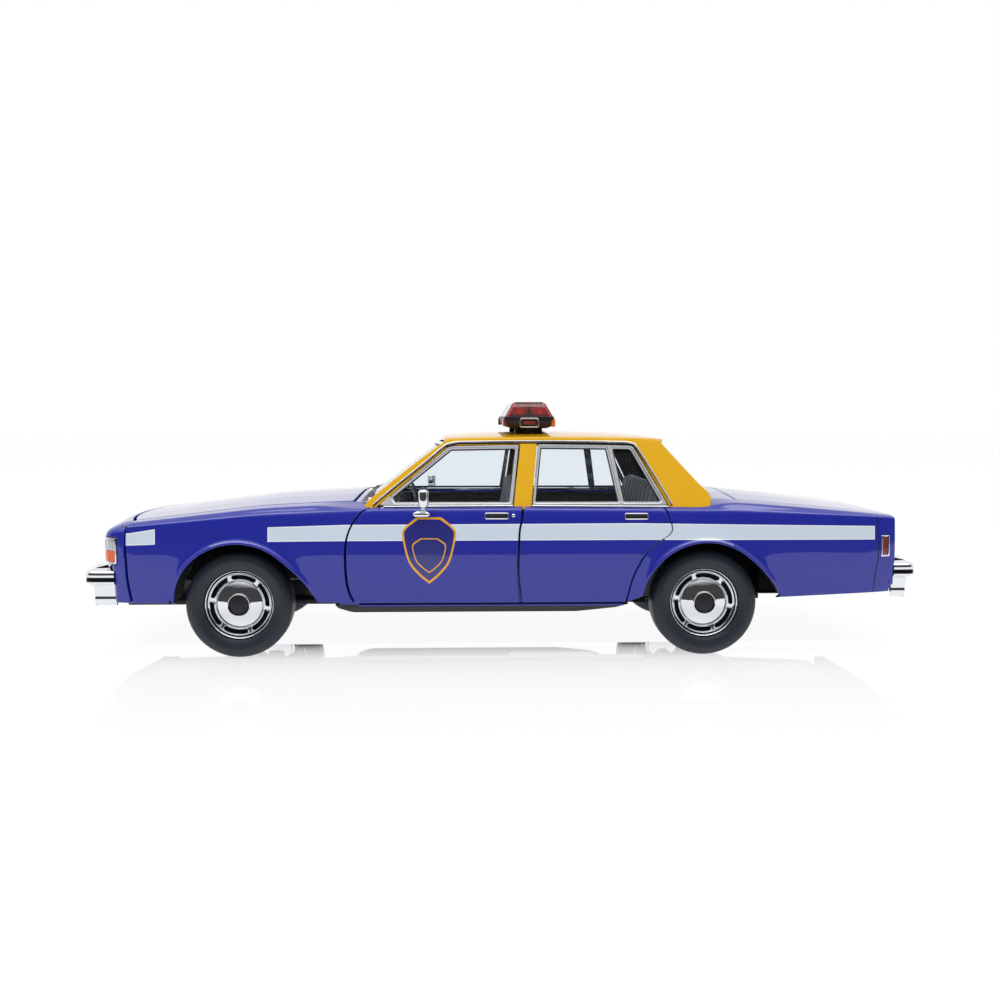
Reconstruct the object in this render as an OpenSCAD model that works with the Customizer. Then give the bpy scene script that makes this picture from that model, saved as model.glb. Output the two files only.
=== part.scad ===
// Die-cast scale model of a full-size four-door patrol car.
// +X points to the rear, +Y to the car's right and +Z up; the origin is on the ground.
// Each body panel is a thin skin between two copies of one shared body surface.

/* [Body] */
// Length over both bumpers
car_l = 299.4; // [285:0.2:320]
// Greatest width of the body
car_w = 106.4; // [100:0.2:116]
// Height of the middle of the roof above the ground
roof_h = 78.8; // [74:0.2:86]
// Height of the belt line, where the side windows begin
belt_h = 53.4; // [51:0.1:56]
// Height of the lower edge of the body
sill_h = 18.2; // [17.6:0.1:20]
// Thickness of the cast body panels
skin = 1.8; // [1.4:0.1:2.2]
// Gap between panels that open
panel_gap = 0.7; // [0.6:0.05:0.9]
// Lean of the side windows from upright, in degrees
window_lean = 24.5; // [20:0.5:28]

/* [Doors and lids] */
// Overall thickness of a front door below its window
door_t = 4.6; // [4:0.1:5.4]
// Half the width of the hood and of the trunk lid
lid_half = 42; // [38:0.5:44]
// Length of the trunk lid
lid_l = 54.5; // [48:0.5:58]

/* [Wheels] */
// Distance between the front and rear axles
wheelbase = 163.7; // [158:0.1:170]
// Distance from the front of the bumper to the front axle
front_overhang = 58.5; // [56:0.1:62]
// Distance between the middles of the left and right tyres
track = 87.2; // [84:0.2:89]
// Outer radius of a tyre
tyre_r = 18.65; // [17.6:0.05:19.2]
// Width of a tyre
tyre_w = 12.5; // [10:0.1:13]
// Radius of the wheel under the tyre
rim_r = 12.6; // [11.5:0.1:13.4]
// Radius of the axle pins
axle_r = 1.5; // [1.2:0.05:1.9]
// Distance of each kingpin from the centre plane
kingpin_y = 35; // [33:0.1:36]
// Length of the steering arms behind the kingpins
arm_l = 9; // [8:0.2:11]

/* [Display stand] */
// Radius of the two screw holes in the underside
screw_r = 1.5; // [1:0.05:2]
// Distance of each screw hole from the middle of the car
screw_x = 40; // [30:1:44]

/* [Light bar] */
// Length of the light bar across the roof
bar_l = 61; // [52:0.5:70]
// Width of the light bar's domes at their base
bar_w = 18.1; // [16:0.1:20]
// Overall height of the light bar above its feet
bar_h = 12.9; // [11:0.1:15]

/* [Hidden] */
$fn = 48;

blue = [0.10, 0.12, 0.50];
yellow = [0.88, 0.64, 0.0];
plated = [0.80, 0.81, 0.83];
dark = [0.10, 0.10, 0.11];
charcoal = [0.22, 0.22, 0.24];
clear = [0.80, 0.88, 0.92, 0.4];
amber = [0.9, 0.4, 0.08];
red = [0.7, 0.05, 0.05];
running = 0.05;
cast_gap = 0.35;

front_x = -car_l / 2;
rear_x = car_l / 2;
axle_f = front_x + front_overhang;
axle_r_x = axle_f + wheelbase;
half_w = car_w / 2;
wheel_y = track / 2;
fender_x = front_x + 20.6;
door_x = axle_f + 37.9;
post_x = door_x + 59.3;
glass_rear_x = axle_r_x - 13.5;
deck_x = axle_r_x + 2.6;
tail_x = rear_x - 9.2;
lid_rear_x = tail_x - 1.0;
lid_x = lid_rear_x - lid_l;
hood_rear_x = door_x + 1.4;
floor_h = sill_h + 1.5;
rail_h = roof_h - 3.2;
slab_top = (rail_h - belt_h) / cos(window_lean);
slab_y = half_w - 4.6;
roof_reach = slab_y - (rail_h - belt_h) * tan(window_lean) - 0.4;
screen_x = door_x + 8.2;
screen_reach = slab_y - 4.4;
screen_bow = 4.2;
axle_tube_r = 2.6;
axle_mid_r = 3.4;

// The shared body surface: half-width, shoulder height and crown at a station along the car.
function plan_y(x) = half_w - lookup(x, [[front_x + 5, 8.5], [front_x + 12.7, 5.6],
    [fender_x, 2.5], [axle_f, 0.9], [door_x, 0.2], [post_x, 0], [axle_r_x - 10, 0.4],
    [axle_r_x + 30, 1.7], [tail_x - 7, 3.0], [tail_x, 4.6], [rear_x, 8]]);
function crease_h(x) = belt_h - lookup(x, [[front_x + 8, 8.4], [fender_x, 6.9], [axle_f + 8, 2.6],
    [door_x + 4, 1.1], [post_x, 0.9], [axle_r_x + 12, 1.6], [tail_x - 7.5, 3.9], [rear_x, 5.6]]);
function crown(x) = lookup(x, [[fender_x, 0.6], [axle_f + 7, 1], [door_x + 4, 1.1],
    [axle_r_x + 4, 1.4], [axle_r_x + 18, 1.2], [axle_r_x + 34, 0.95], [tail_x - 6, 0.35],
    [rear_x, 0.3]]);
function side_in(z) = lookup(z - belt_h, [[-35.4, 2.5], [-29, 1.2], [-21, 0.3], [-13, 0],
    [-6.5, 0.1], [-3.4, 0.8], [-1, 1.8], [0.6, 3.1], [2, 5]]);
function side_y(x, z) = plan_y(x) - side_in(z);
function top_rise(d) = lookup(d, [[0, 0], [6.3, 1.5], [9.3, 2.3], [31, 3.4], [51, 3.8]]);
function top_h(x, y) = crease_h(x)
    + crown(x) * top_rise(max(0, side_y(x, crease_h(x)) - abs(y)));

function steps(a, b, n) = [for (i = [0:n]) a + (b - a) * i / n];
function between(a, b, share) = a + (b - a) * share;
function flip(points) = [for (i = [len(points) - 1:-1:0]) points[i]];

// A closed solid through rings of equal length, each ring at one station.
module loft(rings) {
    n = len(rings[0]);
    last = len(rings) - 1;
    sides = [for (i = [0:last - 1]) for (j = [0:n - 1])
        [i * n + j, i * n + (j + 1) % n, (i + 1) * n + (j + 1) % n, (i + 1) * n + j]];
    ends = [[for (j = [n - 1:-1:0]) j], [for (j = [0:n - 1]) last * n + j]];
    polyhedron([for (ring = rings) each ring], concat(sides, ends), convexity = 8);
}

// A side skin between two heights, on the left side of the car.
module side_skin(x0, x1, z0, rise, t, n) {
    loft([for (x = steps(x0, x1, n)) let (top = crease_h(x) + rise, zs = steps(z0, top, 9)) concat(
        [for (z = zs) [x, -side_y(x, z), z]],
        [for (z = flip(zs)) [x, -side_y(x, z) + t, z]])]);
}

// A top skin between two distances from the centre plane.
module top_skin(x0, x1, y0, y1, t, n) {
    loft([for (x = steps(x0, x1, n)) let (ys = steps(y0, y1, 8)) concat(
        [for (y = ys) [x, y, top_h(x, y)]],
        [for (y = flip(ys)) [x, y, top_h(x, y) - t]])]);
}

// A skin that runs up the left side, over the shoulder and in to a distance from the centre.
module wing_skin(x0, x1, z0, y1, t, n) {
    loft([for (x = steps(x0, x1, n)) let (
            top = crease_h(x),
            zs = steps(z0, top, 6),
            y0 = side_y(x, top),
            ys = steps(-y0, y1, 4)) concat(
        [for (z = zs) [x, -side_y(x, z), z]],
        [for (i = [1:4]) [x, ys[i], top_h(x, ys[i])]],
        [for (i = [4:-1:1]) [x, ys[i], top_h(x, ys[i]) - t]],
        [for (z = flip(zs)) [x, -side_y(x, z) + t, min(z, top - t)]])]);
}

// Extrudes an outline drawn in X and Z through the left side of the car.
module through_side(y0, y1) {
    translate([0, y1, 0])
        rotate([90, 0, 0])
            linear_extrude(y1 - y0)
                children();
}

// Everything behind the foot of the windscreen, as far out as the glass reaches.
module behind_screen() {
    linear_extrude(belt_h + 20)
        polygon(concat([for (y = steps(-screen_reach, screen_reach, 10))
                [screen_x - screen_bow * (1 - pow(y / screen_reach, 2)) - 0.5, y]],
            [[screen_x + 10, screen_reach], [screen_x + 10, -screen_reach]]));
}

module mirrored() {
    mirror([0, 1, 0])
        children();
}

// Wheel opening: a round arch that runs out to the rear at its foot.
module arch_outline(axle_x) {
    foot = tyre_r + 3.8;
    polygon(concat([[axle_x + foot + 6.5, 0], [axle_x + foot + 6.5, sill_h]],
        [for (a = [0:9:180]) let (r = foot + 6.2 * pow(max(0, 1 - a / 52), 2))
            [axle_x + r * cos(a), tyre_r - 1 + r * sin(a)]],
        [[axle_x - foot, 0]]));
}

// Front edge of the front door, from its foot to the belt.
function door_edge(x) = [for (p = [[3.2, -34.2], [1.7, -31.6], [0.6, -28], [0, -19], [0.1, -13.8],
    [0.8, -10.3], [2.0, -7.2], [3.7, -4.5], [6.6, -1.4], [9.9, 1.6]]) [x + p[0], belt_h + p[1]]];

module door_outline(grow) {
    polygon(concat(door_edge(door_x - grow),
        [for (z = steps(1.6, -34.2 - grow, 8))
            [post_x + 0.0042 * pow(z + 22.4, 2) + grow, belt_h + z]],
        [[door_x + 3.2, belt_h - 34.2 - grow]]));
}

// Rear edge of the rear door, which follows the wheel arch.
function rear_edge(shift) = [for (p = [[-14.7, 1.6], [-13.1, -5.7], [-12.3, -8.4], [-13.3, -10.4],
    [-15.7, -11.9], [-18.8, -14.2], [-22, -17.3], [-24.6, -21.8], [-26.4, -26.3], [-28.2, -34.2]])
    [axle_r_x + p[0] + shift, belt_h + p[1]]];

module rear_door_outline() {
    polygon(concat([for (z = steps(-34.2, 1.6, 8))
            [post_x + 0.0042 * pow(z + 22.4, 2) + panel_gap, belt_h + z]],
        rear_edge(0)));
}

// Places a flat outline of X and slope distance on the leaning plane of the left side windows.
module on_window_plane(t, inset) {
    translate([0, -slab_y, belt_h])
        rotate([90 - window_lean, 0, 0])
            translate([0, 0, -t - inset])
                linear_extrude(t)
                    children();
}

function frame_outer() = [[door_x + 12.3, 0.4], [door_x + 36.9, slab_top - 1.6],
    [post_x + 1.3, slab_top - 1.1], [post_x - 1.6, 0.4]];
function frame_glass() = [[door_x + 16.2, 1.6], [door_x + 38.2, slab_top - 2.9],
    [post_x - 0.1, slab_top - 2.4], [post_x - 2.7, 1.6]];
function rear_outer() = [[post_x + 5.7, 0.4], [post_x + 8.1, slab_top - 1.1],
    [glass_rear_x - 11.4, slab_top - 1.5], [glass_rear_x - 0.3, 0.4]];
function glass_foot(share) = [between(post_x + 6.3, glass_rear_x - 2.2, share), 1.4];
function glass_head(share) = [between(post_x + 9, glass_rear_x - 12, share), slab_top - 2.5 - 0.4 * share];
function rear_glass() = [glass_foot(0), glass_head(0), glass_head(0.731), glass_foot(0.665)];
function corner_glass() = [glass_foot(0.703), glass_head(0.794), glass_head(1), glass_foot(1)];

function roof_station(share) = between(door_x + 52, axle_r_x - 13, share);

module pillar_outline() {
    difference() {
        polygon([[door_x + 7.4, 0], [door_x + 34, slab_top - 0.8], [roof_station(0), slab_top - 0.2],
            [roof_station(0.33), slab_top], [roof_station(0.72), slab_top - 0.3],
            [axle_r_x - 14, slab_top - 1],
            [axle_r_x + 1.6, 2.6], [axle_r_x + 1.4, 1.3], [glass_rear_x - 2, 1.3], [glass_rear_x - 2, 0]]);
        polygon([[door_x + 9.7, -1], [door_x + 36.3, slab_top - 1.1],
            [post_x + 1.8, slab_top - 0.7], [post_x - 1, -1]]);
        polygon([[post_x + 5.2, -1], [post_x + 7.6, slab_top - 0.7],
            [glass_rear_x - 10.8, slab_top - 1.1], [glass_rear_x + 1.1, -1]]);
    }
}

// Roof and pillars
module roof_panel() {
    color(yellow)
        loft([for (x = steps(door_x + 34.3, axle_r_x - 13.4, 10)) let (
                drop = lookup(x, [[door_x + 34, 1.3], [roof_station(0), 0.3], [roof_station(0.33), 0],
                    [roof_station(0.72), 0.5], [roof_station(1), 2.0]]),
                ys = steps(-roof_reach, roof_reach, 12)) concat(
            [for (y = ys) let (e = pow(y / roof_reach, 2))
                [x, y, roof_h - drop * (1 - 0.6 * e) - 2.2 * e]],
            [for (y = flip(ys)) let (e = pow(y / roof_reach, 2))
                [x, y, roof_h - skin - drop * (1 - 0.6 * e) - 1.1 * e]])]);
}

module roof_pillars_left() {
    color(yellow) on_window_plane(2.2, 0) pillar_outline();
}
module roof_pillars_right() {
    mirrored() roof_pillars_left();
}

// Sill, hinge post and centre post behind the doors
module side_sill_left() {
    inner = half_w - door_t - 1.2;
    sill_rear_x = axle_r_x - 28.8;
    color(blue)
        union() {
            through_side(-inner, -inner + 3)
                polygon([[door_x - 3, sill_h], [sill_rear_x, sill_h], [sill_rear_x, floor_h + 4],
                    [door_x - 3, floor_h + 4]]);
            through_side(-half_w + 2.8, -inner + 0.1)
                polygon([[door_x + 4, sill_h], [sill_rear_x, sill_h],
                    [sill_rear_x, sill_h + 0.5], [door_x + 4, sill_h + 0.5]]);
            through_side(-inner, -inner + 2.4)
                polygon([[door_x - 3, sill_h], [door_x + 5, sill_h], [door_x + 8, belt_h - 4],
                    [door_x - 3, belt_h - 6]]);
            through_side(-inner, -inner + 2.4)
                polygon([[post_x - 2, sill_h], [post_x + 8, sill_h], [post_x + 6.4, belt_h - 1.2],
                    [post_x - 0.6, belt_h - 1.2]]);
        }
}
module side_sill_right() {
    mirrored() side_sill_left();
}

// Rear door, cast shut
module rear_door_left() {
    color(blue)
        intersection() {
            side_skin(post_x, axle_r_x - 12, sill_h + 1, 0.9, skin - 0.1, 8);
            through_side(-half_w - 1, -half_w + 12) rear_door_outline();
        }
    color(plated)
        on_window_plane(1.6, 0.3)
            difference() {
                polygon(rear_outer());
                polygon(rear_glass());
                polygon(corner_glass());
            }
}
module rear_door_right() {
    mirrored() rear_door_left();
}

// Quarter panel, from the rear door to the tail
module quarter_panel_left() {
    color(blue)
        difference() {
            wing_skin(axle_r_x - 29, tail_x + 1, sill_h, -lid_half - panel_gap, skin, 18);
            translate([axle_r_x - 30, -slab_y + 4, belt_h - 10])
                cube([deck_x - axle_r_x + 29.5, slab_y, 20]);
            through_side(-half_w - 1, -half_w + 14) arch_outline(axle_r_x);
            through_side(-half_w - 1, -half_w + 14)
                polygon([[axle_r_x, 0], [axle_r_x, sill_h + 2.4], [tail_x, sill_h + 2.4],
                    [tail_x, belt_h + 4], [tail_x + 4, belt_h + 4], [tail_x + 4, 0]]);
            through_side(-half_w - 1, -half_w + 14)
                polygon(concat([[post_x, sill_h - 1], [post_x, belt_h + 4], [axle_r_x - 15, belt_h + 4]],
                    rear_edge(cast_gap), [[axle_r_x - 28, sill_h - 1]]));
        }
}
module quarter_panel_right() {
    mirrored() quarter_panel_left();
}

// Front fender, from the nose to the front door
module front_fender_left() {
    color(blue)
        difference() {
            wing_skin(fender_x, door_x + 9, sill_h + 0.9, -lid_half - panel_gap, skin, 14);
            behind_screen();
            through_side(-half_w - 1, -half_w + 14) arch_outline(axle_f);
            through_side(-half_w - 1, -half_w + 14)
                polygon(concat([for (p = door_edge(door_x - panel_gap)) p],
                    [[door_x + 12, belt_h + 4], [door_x + 12, sill_h - 1], [door_x + 2.6, sill_h - 1]]));
        }
}
module front_fender_right() {
    mirrored() front_fender_left();
}

// Cowl between hood and windscreen
module cowl_panel() {
    x = hood_rear_x + panel_gap;
    ys = steps(-lid_half - 0.5, lid_half + 0.5, 8);
    color(dark)
        difference() {
            translate([x, 0, 0])
                rotate([90, 0, 90])
                    linear_extrude(5.3)
                        polygon(concat([for (y = ys) [y, top_h(x, y)]],
                            [for (y = flip(ys)) [y, top_h(x, y) - skin - 1]]));
            behind_screen();
        }
}

// Deck between rear window and trunk lid
module deck_panel() {
    color(blue)
        top_skin(deck_x - 0.3, lid_x - panel_gap, -lid_half - 0.4, lid_half + 0.4, skin, 3);
}

// Upright panel below the trunk lid, with the lamp recesses left to the lamps
module tail_panel() {
    z = belt_h - 27.2;
    color(blue)
        translate([tail_x - 2.4, -half_w + 9.2, z])
            cube([2.2, car_w - 18.4, top_h(lid_rear_x, lid_half) - skin - 0.44 - z]);
}

// Plastic nose in front of the hood and fenders
module nose_plan(inset) {
    polygon([[fender_x - 0.6, -half_w + 2.6 + inset], [front_x + 12.8 + inset, -half_w + 5.4 + inset],
        [front_x + 11.2 + inset, -half_w + 12], [front_x + 9.2 + inset, 0],
        [front_x + 11.2 + inset, half_w - 12], [front_x + 12.8 + inset, half_w - 5.4 - inset],
        [fender_x - 0.6, half_w - 2.6 - inset]]);
}
module nose_side(inset) {
    through_side(-half_w, half_w)
        polygon([[front_x, belt_h - 21], [front_x, belt_h - 9.6 - inset],
            [front_x + 13.2, belt_h - 9.4 - inset], [front_x + 17.4, belt_h - 6.2 - inset],
            [fender_x - 0.6, belt_h - 5.2 - inset], [fender_x, belt_h - 5.2 - inset],
            [fender_x, belt_h - 21]]);
}
module nose_panel() {
    color(blue) {
        difference() {
            intersection() {
                linear_extrude(belt_h + 4) nose_plan(0);
                nose_side(0);
            }
            intersection() {
                linear_extrude(belt_h + 4) nose_plan(3);
                union() {
                    nose_side(2);
                    translate([front_x + 12, -half_w + 5.6, 0]) cube([12, car_w - 11.2, belt_h - 15]);
                }
            }
            nose_openings(0);
        }
        for (s = [-1, 1])
            translate([fender_x - 1.7, s * (half_w - 4.9) - 1.5, sill_h + 1.3])
                cube([1.1, 3, belt_h - 21.4 - sill_h - 1.3 + 2]);
    }
}

// Openings of the grille, the headlamps and the corner lamps
module nose_openings(fit) {
    translate([front_x + 2, -20.5 + fit, belt_h - 20.2 + fit])
        cube([16, 41 - 2 * fit, 9.8 - 2 * fit]);
    for (s = [-1, 1]) {
        translate([front_x + 2, s * 32.2 - 10.7 + fit, belt_h - 20.2 + fit])
            cube([16, 21.4 - 2 * fit, 9.8 - 2 * fit]);
        translate([front_x + 2, s * 47.9 - 3.9 + fit, belt_h - 20.2 + fit])
            cube([15.4, 7.8 - 2 * fit, 9.8 - 2 * fit]);
    }
}
module nose_inserts(depth) {
    intersection() {
        nose_openings(0.15);
        linear_extrude(belt_h) difference() {
            nose_plan(0.8);
            nose_plan(0.8 + depth);
        }
        children();
    }
}
module grille() {
    bars = 9;
    color(plated)
        nose_inserts(2)
            union() {
                for (z = [0, 8.4])
                    translate([front_x, -20.6, belt_h - 20.2 + z]) cube([20, 41.2, 1.5]);
                for (i = [-bars:bars])
                    translate([front_x, i * 20.3 / bars - 0.4, belt_h - 21]) cube([20, 0.8, 12]);
                translate([front_x, -20.6, belt_h - 15.8]) cube([20, 41.2, 0.9]);
            }
}
module headlamps() {
    color(clear)
        nose_inserts(3)
            for (s = [-1, 1]) for (c = [26.9, 37.5])
                translate([front_x, s * c - 4.9, belt_h - 22]) cube([20, 9.8, 13]);
}
module corner_lamps() {
    color(amber)
        difference() {
            intersection() {
                nose_openings(0.15);
                linear_extrude(belt_h) nose_plan(0.3);
                for (s = [-1, 1])
                    translate([front_x, s * 48.2 - 3.9, belt_h - 22]) cube([20, 7.8, 13]);
            }
            linear_extrude(belt_h) nose_plan(2.6);
        }
}

// Bumpers: a broad upper roll and a lower face set back, wrapped round the corners
module bumper_plan(inset, end_x, bow) {
    polygon(concat([[end_x, -half_w + 5.5 + inset], [8.5, -half_w + 6 + inset]],
        [for (y = steps(-44.2, 44.2, 8)) [inset + bow * pow(y / 44.2, 2), y * (1 - inset / 45)]],
        [[8.5, half_w - 6 - inset], [end_x, half_w - 5.5 - inset]]));
}
module bumper(end_x, bow) {
    module tier(inset, z0, z1) {
        translate([0, 0, z0])
            linear_extrude(z1 - z0)
                difference() {
                    bumper_plan(inset, end_x, bow);
                    bumper_plan(inset + 3.2, end_x + 1, bow);
                }
    }
    tier(0, sill_h + 8.8, sill_h + 12.6);
    tier(2.2, sill_h + 0.2, sill_h + 8.8);
    translate([0, 0, sill_h + 12.6])
        linear_extrude(1.4)
            difference() {
                bumper_plan(1.2, end_x, bow);
                bumper_plan(5.4, end_x + 1, bow);
            }
}
module front_bumper() {
    color(plated) {
        translate([front_x, 0, 0]) bumper(16, 4.6);
        for (s = [-1, 1])
            translate([front_x + 4, s * 24 - 3, sill_h + 1]) cube([22, 6, 4]);
    }
}
module rear_bumper() {
    color(plated) {
        translate([rear_x, 0, 1.8]) mirror([1, 0, 0]) bumper(9, 3.4);
        for (s = [-1, 1])
            translate([tail_x - 3.8, s * 24 - 3, sill_h + 2.6]) cube([10, 6, 4]);
    }
}

// Tail lamps on the tail panel, three lenses a side
module tail_lamps() {
    color(red)
        for (s = [-1, 1]) for (i = [0:2])
            translate([tail_x - 0.2, s * (18.5 + 9.6 * i) - 4.4, belt_h - 16.6]) cube([1.4, 8.8, 9.4]);
}
module side_markers() {
    color(red)
        for (s = [-1, 1])
            translate([tail_x - 5.6, s * (half_w - 2.9) - 0.3, belt_h - 18.6]) cube([3.2, 0.6, 7.5]);
}

// Underside
module chassis_base() {
    plate = sill_h - 0.2;
    low = sill_h - 2.9;
    color(dark)
        difference() {
            union() {
                translate([axle_f + 30, -half_w + 6.2, low])
                    cube([wheelbase - 58, car_w - 12.4, plate - low]);
                translate([front_x + 14, -26, low]) cube([front_overhang + 18, 52, 2]);
                translate([axle_r_x - 30, -32.5, low]) cube([rear_x - axle_r_x + 12, 65, 2]);
                translate([axle_f - 3.2, -26, tyre_r - 3.35]) cube([6.4, 52, 7.6]);
                for (z = [tyre_r - 4.05, tyre_r + 2.85]) {
                    translate([axle_f - 3.2, -kingpin_y, z]) cube([6.4, 2 * kingpin_y, 1.4]);
                    for (s = [-1, 1])
                        translate([axle_f, s * kingpin_y, z]) cylinder(r = 3.2, h = 1.4);
                }
            }
            for (s = [-1, 1])
                translate([axle_f, s * kingpin_y, tyre_r - 5.35]) cylinder(r = 1.2 + running, h = 12);
            translate([axle_r_x, 0, tyre_r])
                rotate([90, 0, 0]) {
                    cylinder(r = axle_tube_r + 0.15, h = 80, center = true);
                    cylinder(r = axle_mid_r + 0.15, h = 13, center = true);
                }
            for (x = [screw_x, -screw_x])
                translate([x, 0, low - 1]) cylinder(r = screw_r, h = 6);
        }
}
module rear_axle_housing() {
    color(dark)
        translate([axle_r_x, 0, tyre_r])
            rotate([90, 0, 0])
                difference() {
                    union() {
                        cylinder(r = axle_tube_r, h = 66, center = true);
                        cylinder(r = axle_mid_r, h = 12, center = true);
                    }
                    cylinder(r = axle_r + running, h = 80, center = true);
                }
}
module exhaust_pipe() {
    z = sill_h - 4.5;
    color(plated)
        translate([0, 14, 0])
            union() {
                translate([axle_f + 30, 0, z]) rotate([0, 90, 0]) cylinder(r = 1.3, h = wheelbase - 42);
                translate([post_x, -5, z - 1.5]) cube([34, 10, 3.1]);
            }
}
module engine_block() {
    color(charcoal)
        translate([axle_f - 18, -15, sill_h + 4.7]) cube([40, 30, 22]);
}

// Cabin
module cabin_tub() {
    y = half_w - door_t - 1.5;
    x0 = door_x + 2;
    x1 = axle_r_x - 10;
    color(charcoal)
        union() {
            translate([x0, -y + 3.4, sill_h + 0.1]) cube([axle_r_x - 20.5 - x0, 2 * y - 6.8, 1.4]);
            translate([x0, -34.5, sill_h + 0.1]) cube([x1 - x0, 69, 1.4]);
            translate([x0, -y + 3.4, sill_h + 0.1]) cube([1.4, 2 * y - 6.8, 31]);
            translate([x1 - 1.4, -34.5, sill_h + 0.1]) cube([1.4, 69, 33]);
        }
}
module dashboard() {
    color(charcoal)
        through_side(-lid_half, lid_half)
            polygon([[door_x + 3.7, belt_h - 12], [door_x + 3.7, belt_h - 4.5], [door_x + 8, belt_h - 4.5],
                [door_x + 8, belt_h + 0.3], [door_x + 16, belt_h - 0.6], [door_x + 17, belt_h - 4],
                [door_x + 11, belt_h - 12]]);
}
module steering_wheel() {
    color(dark)
        translate([door_x + 24, -19, belt_h - 2.4])
            rotate([0, 74, 0])
                union() {
                    rotate_extrude() translate([9.2, 0]) circle(r = 0.7);
                    for (a = [90, 210, 330])
                        rotate([0, 0, a]) translate([0, -0.8, -0.5]) cube([9.2, 1.6, 1]);
                    cylinder(r = 2.4, h = 1.6, center = true);
                    translate([0, 0, -6.6]) cylinder(r = 1, h = 7);
                }
}
module radio_console() {
    color(dark)
        translate([door_x + 22, -5.5, floor_h + 0.1]) cube([14, 11, 16]);
}
module bench(seat_x, wide) {
    back = 26.5;
    through_side(-wide, wide)
        polygon([[seat_x, floor_h + 0.1], [seat_x, floor_h + 13], [seat_x + 2, floor_h + 15.5],
            [seat_x + 17, floor_h + 14], [seat_x + 22.5, floor_h + 14 + back],
            [seat_x + 26, floor_h + 13.6 + back], [seat_x + 25, floor_h + 0.1]]);
}
module front_bench_seat() {
    color(charcoal) bench(door_x + 37, lid_half + 0.7);
}
module rear_bench_seat() {
    color(charcoal)
        difference() {
            bench(axle_r_x - 38, lid_half - 0.8);
            for (s = [-1, 1])
                translate([axle_r_x - 19.4, s * 46.5 - 10, 0]) cube([20, 20, tyre_r * 2 + 1]);
        }
}

// Glass
module windscreen() {
    foot = [screen_x, belt_h + 1.6];
    head = [door_x + 33.6, roof_h - 3.9];
    color(clear)
        loft([for (t = steps(0, 1, 6)) let (
                x = foot[0] + (head[0] - foot[0]) * t,
                z = foot[1] + (head[1] - foot[1]) * t,
                reach = screen_reach - 9.4 * t,
                ys = steps(-reach, reach, 8)) concat(
            [for (y = ys) [x - screen_bow * (1 - pow(y / reach, 2)), y, z]],
            [for (y = flip(ys)) [x - screen_bow * (1 - pow(y / reach, 2)) + 1.3, y, z]])]);
}
module rear_window() {
    foot = [axle_r_x + 0.4, belt_h + 2.2];
    head = [axle_r_x - 13.8, roof_h - 4.6];
    color(clear)
        loft([for (t = steps(0, 1, 6)) let (
                x = foot[0] + (head[0] - foot[0]) * t,
                z = foot[1] + (head[1] - foot[1]) * t,
                reach = screen_reach - 9.6 * t,
                ys = steps(-reach, reach, 8)) concat(
            [for (y = flip(ys)) [x + 1.2 * (1 - pow(y / reach, 2)), y, z]],
            [for (y = ys) [x + 1.2 * (1 - pow(y / reach, 2)) - 1.3, y, z]])]);
}
module rear_side_windows() {
    module panes() {
        on_window_plane(0.8, 0.7) {
            polygon(rear_glass());
            polygon(corner_glass());
        }
    }
    color(clear) {
        panes();
        mirrored() panes();
    }
}

// Trunk
module trunk_box(wall, z, h) {
    x0 = axle_r_x + 8;
    x1 = axle_r_x + tyre_r + 2;
    x2 = tail_x - 4;
    narrow = 35.5 - wall;
    wide = lid_half - 2 - wall;
    translate([x0 + wall, -narrow, z]) cube([x2 - x0 - 2 * wall, 2 * narrow, h]);
    translate([x1 + wall, -wide, z]) cube([x2 - x1 - 2 * wall, 2 * wide, h]);
}
module trunk_tub() {
    color(charcoal)
        difference() {
            trunk_box(0, sill_h - 0.7, 26);
            trunk_box(1.2, sill_h + 0.5, 30);
        }
}

// Light bar
module lightbar_base() {
    x = door_x + 64.7;
    foot_y = 26;
    foot_w = 4;
    z = roof_h - 2.2 * pow((foot_y - foot_w / 2) / roof_reach, 2) + 0.07;
    color(dark)
        translate([x, 0, 0]) {
            for (s = [-1, 1])
                translate([-7, s * foot_y - foot_w / 2, z]) cube([14, foot_w, roof_h + 1.8 - z]);
            translate([-7.5, -bar_l / 2 + 0.6, roof_h + 1.7]) cube([15, bar_l - 1.2, 3.2]);
        }
}
module lightbar_domes() {
    x = door_x + 64.7;
    base = roof_h + 5;
    top = base + bar_h - 7;
    module dome(y0, y1, end) {
        loft([for (y = [y0, y1]) let (cut = (y == end) ? 1 : 0) [
            [x - bar_w / 2 + cut, y, base], [x + bar_w / 2 - cut, y, base],
            [x + bar_w / 2 - 2.2 - cut, y, top], [x - bar_w / 2 + 2.2 + cut, y, top]]]);
    }
    third = bar_l / 3;
    color(red) dome(-bar_l / 2, -third / 2 - 0.2, -bar_l / 2);
    color(clear) dome(-third / 2, third / 2, 0);
    color(red) dome(third / 2 + 0.2, bar_l / 2, bar_l / 2);
}

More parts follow.
